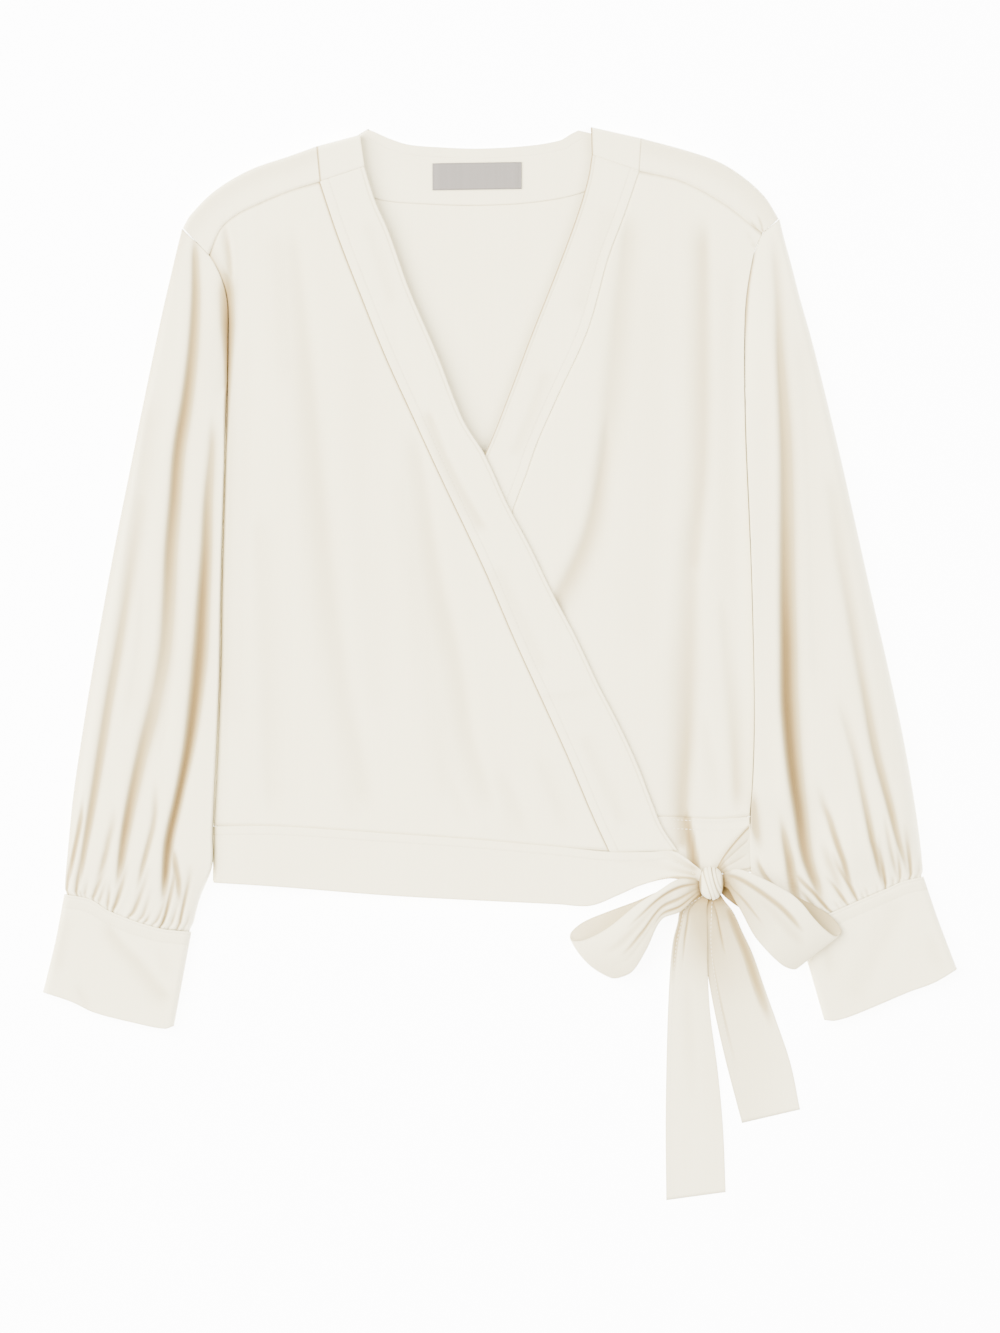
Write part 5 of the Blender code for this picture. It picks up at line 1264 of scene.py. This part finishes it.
TAIL_LEFT = (
    StripRow(153.2, -171.0, 161.6, -168.4, 9.6, 0.0),
    StripRow(151.6, -176.8, 165.4, -174.4, 12.4, 0.2),
    StripRow(151.2, -186, 172.5, -184, 10.8, 0.8),
    StripRow(150.8, -197, 179, -198, 7.6, 1.0),
    StripRow(151.4, -214, 187, -215, 3.8, 1.0),
    StripRow(155.0, -238, 195.8, -240, 1.4, 0.4),
    StripRow(159.6, -262, 204, -263, 0.75, 0.0),
    StripRow(167.4, -296, 215, -296, 0.7, 0.0),
    StripRow(179, -340, 222, -330, 0.7, 0.0),
)
STRAP_LEFT = (
    StripRow(184.8, -118, 185.1, -149, 8.0, 0.0),
    StripRow(184.2, -119, 184.8, -150, 8.2, 0.0),
    StripRow(182.0, -121, 183.6, -151.0, 8.8, 0.0),
    StripRow(172.5, -132, 176.5, -152.4, 10.6, 0.3),
    StripRow(165.5, -141.5, 169.5, -153.6, 12.6, 0.3),
    StripRow(159.6, -151.6, 162.6, -155.6, 12.6, 0.0),
)
# A pleat's across is its place across a strip, 0 at edge a to 1 at edge b. It runs from row first to last,
# and dark is the shade painted in it.
Pleat = namedtuple("Pleat", "across first last wide deep dark")


def add_strip(name, table, pleats, shades, stitched=None):
    """A belt strip through its rows, with soft pleats. shades is its painted shade, {row: (at a, at b)}."""
    count = range(len(table))
    edge_a = Line(*((row.ax, row.ay, row.z) for row in table))
    edge_b = Line(*((row.bx, row.by, row.z) for row in table))
    places = np.linspace(0, len(table) - 1, int(max(edge_a.length, edge_b.length) / 1.5))
    a = edge_a.at(np.interp(places, count, edge_a.marks))[:, None]
    b = edge_b.at(np.interp(places, count, edge_b.marks))[:, None]
    across = spaced(TIE_WIDE, 1.1, (0, 1.5, 0.5), (TIE_WIDE, 1.5, 0.5))
    arch = np.interp(places, count, [row.arch for row in table])[:, None]
    bulge = np.interp(places, count, [row.bulge for row in table])[:, None]
    points = a + (b - a) * across[:, None]
    run = (b - a)[..., :2] / np.linalg.norm((b - a)[..., :2], axis=-1)[..., None]
    middle = 1 - (2 * across - 1) ** 2
    points[..., 0] += run[..., 1] * bulge * middle
    points[..., 1] -= run[..., 0] * bulge * middle
    width = np.linalg.norm(b - a, axis=-1)
    lift = arch * middle + 0.15 * ruffle(points[..., :2], 14, 2.0)
    at_a, at_b = (np.interp(places, sorted(shades), [shades[row][end] for row in sorted(shades)])[:, None]
                  for end in (0, 1))
    dark = at_a + (at_b - at_a) * across
    from_edge = np.minimum(across, 1 - across) * width
    # painted shade along its edges and in its pleats
    dark = dark + painted_line_shade(from_edge, 0.07, 0.8)
    for pleat in pleats:
        fade = smooth(pleat.first - 1.0, pleat.first + 0.4, places) * smooth(-1.2, 0.8, pleat.last - places)
        valley = fade[:, None] * np.exp(-((across - pleat.across) * width / pleat.wide) ** 2)
        lift -= pleat.deep * valley
        dark = np.maximum(dark, pleat.dark * valley)
    points[..., 2] = np.maximum(points[..., 2] + lift, TIE / 2)
    piece = add_cloth(name + "_crepe", points, fold=dark, thick=TIE)
    piece.modifiers["wall"].offset = 0.0    # a strip's rows run in the middle of its thickness
    if stitched is not None:
        near = slice(3, -1)
        line = along(points[near], across * width[near], stitched) + np.array((0, 0, TIE / 2))
        add_stitches("stitching_" + name, line)
    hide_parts(name)


# Painted shade is darkest where each strip goes into the knot, and on the insides of the loops.
add_strip("bow_loop_right", LOOP_RIGHT, (
    Pleat(0.26, 1, 3.6, 1.3, 1.4, 0.75), Pleat(0.60, 1, 4.4, 1.6, 1.4, 0.55),
    Pleat(0.84, 1, 2.8, 1.2, 1.2, 0.8), Pleat(0.40, 2.4, 5.4, 3.4, 0.8, 0.14),
    Pleat(0.74, 2.8, 5.2, 2.6, 0.7, 0.12),
), {0: (1.0, 1.0), 0.8: (0.5, 0.7), 1.5: (0.1, 0.3), 2.5: (0.0, 0.1), 5: (0.0, 0.1), 7.4: (0.05, 0.2),
    8.4: (0.14, 0.14), 11: (0.2, 0.3), 14: (0.8, 0.9)})
add_strip("bow_loop_left", LOOP_LEFT, (
    Pleat(0.30, 1, 5.4, 2.0, 1.9, 0.5), Pleat(0.74, 1, 3.4, 1.4, 1.2, 0.55),
    Pleat(0.46, 3.2, 6.6, 5.0, 0.9, 0.12),
), {0: (1.0, 1.0), 0.8: (0.4, 0.9), 1.5: (0.0, 0.6), 2.5: (0.0, 0.25), 5: (0.0, 0.05), 8: (0.05, 0.1),
    9: (0.22, 0.2), 12: (0.45, 0.4), 13.5: (0.7, 0.9), 16: (1.0, 1.0)})
add_strip("bow_tail_right", TAIL_RIGHT, (
    Pleat(0.34, 1, 4.0, 1.1, 1.2, 0.6), Pleat(0.10, 1.6, 4.4, 1.8, 0.8, 0.6),
    Pleat(0.50, 4, 7, 6.0, 0.3, 0.06),
), {0: (1.0, 1.0), 0.8: (0.9, 0.8), 1.5: (0.45, 0.5), 2.5: (0.15, 0.4), 4.2: (0.05, 0.25),
    5.5: (0.0, 0.05), 9: (0.0, 0.0)}, stitched=3.0)
add_strip("bow_tail_left", TAIL_LEFT, (
    Pleat(0.42, 1, 3.6, 1.2, 1.4, 0.7), Pleat(0.88, 1.8, 5.4, 4.0, 1.4, 0.62),
    Pleat(0.14, 2.5, 6.6, 1.0, 0.4, 0.3),
), {0: (1.0, 1.0), 0.8: (0.9, 0.8), 1.5: (0.6, 0.3), 2.5: (0.35, 0.12), 4.2: (0.25, 0.1),
    5.6: (0.12, 0.05), 8: (0.05, 0.0)}, stitched=5.0)
add_strip("tie_strap_left", STRAP_LEFT, (
    Pleat(0.06, 1.2, 5, 1.1, 0.6, 0.75), Pleat(0.34, 1.8, 5, 1.2, 1.0, 0.22),
    Pleat(0.66, 2.5, 5, 1.2, 0.8, 0.16),
), {0: (0.05, 0.05), 1.5: (0.12, 0.0), 4: (0.16, 0.05), 5: (0.7, 0.7)})

KNOT_CENTRE = np.array((155.9, -161.9, 16.6))
KNOT_HALF = np.array((8.9, 12.0, 8.0))    # half its size in x, y and z
KNOT_ROWS, KNOT_COLUMNS = 70, 96          # points along it and round it
KNOT_SLANT = 0.34     # how far the knot's wraps run round it at a slant
KNOT_GROOVES = {-0.36: 0.05, 0.31: 0.06, -0.02: 0.025, 0.64: 0.04}    # place along the knot: depth
GROOVE_WIDE = 0.05
along_knot, turns = np.meshgrid(np.linspace(-1, 1, KNOT_ROWS),
                                np.linspace(0, 2 * math.pi, KNOT_COLUMNS + 1)[:-1], indexing="ij")
girth = np.sqrt(np.maximum(1 - along_knot ** 2, 0)) ** 0.8
slant = along_knot + KNOT_SLANT * np.sin(turns) + 0.06 * np.sin(2 * turns + 1)
wrap = 1 + 0.07 * smooth(-0.34, -0.28, slant) * smooth(-0.30, -0.24, -slant)    # its broad middle wrap
# Painted shade in its grooves, where the belt goes in, and on its underside.
knot_painted_shade = np.zeros_like(wrap)
for place, deep in KNOT_GROOVES.items():
    dent = np.exp(-((slant - place) / GROOVE_WIDE) ** 2)
    wrap = wrap - deep * dent
    knot_painted_shade = np.maximum(knot_painted_shade, 6.5 * deep * dent)
knot_painted_shade = np.maximum(knot_painted_shade, 0.7 * smooth(0.75, 1.0, np.abs(along_knot)))      # where the belt goes in
knot_painted_shade = np.maximum(knot_painted_shade, 0.8 * smooth(0.55, 1.0, 0.5 - np.cos(turns)))     # its underside
knot_form = np.stack([along_knot, girth * np.sin(turns) * wrap, girth * np.cos(turns) * wrap], axis=-1)
knot_points = KNOT_CENTRE + KNOT_HALF * knot_form
knot = add_cloth("bow_knot_crepe", knot_points, fold=knot_painted_shade, ring=True, thick=TIE)
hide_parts("bow_knot")

# --- Neck label ---
# A plain woven label in grey, sewn at its two short ends to the inside of the back neckband.
LABEL_WIDE, LABEL_DEEP = 66.0, 20.0
LABEL_LIFT = DOUBLE + 1.35     # height of its face at its sewn ends
LABEL_THICK = 0.45
LABEL_PALE = (0.20, 0.187, 0.178, 1.0)
LABEL_FULL = (0.155, 0.143, 0.135, 1.0)
label_cloth = woven("grey_woven_tape", LABEL_PALE, LABEL_FULL, pebble_scale=900.0, thread_scale=1500.0,
                    relief=0.00008, roughness=0.6)
label_side_r, label_side_l = Line((-50, 370), (-50, 350)), Line((16, 371), (16, 351))
label_across = spaced(LABEL_WIDE, 2.5, (0, 2, 0.5), (LABEL_WIDE, 2, 0.5))
label_plan = panel(label_side_r, label_side_l, label_across, spaced(LABEL_DEEP, 1.5))
label_ends = np.minimum(distances(label_plan, column=0), distances(label_plan, column=-1))
label_height = LABEL_LIFT + 0.3 * smooth(0, 6, label_ends) - groove(label_ends, 1.6, 0.4, 0.2)
label_height += 0.12 * ruffle(label_plan, 16, 14.0)
label_piece = add_cloth("neck_label_tape", with_height(label_plan, label_height), thick=LABEL_THICK,
                        finish=label_cloth)
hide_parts("neck_label")
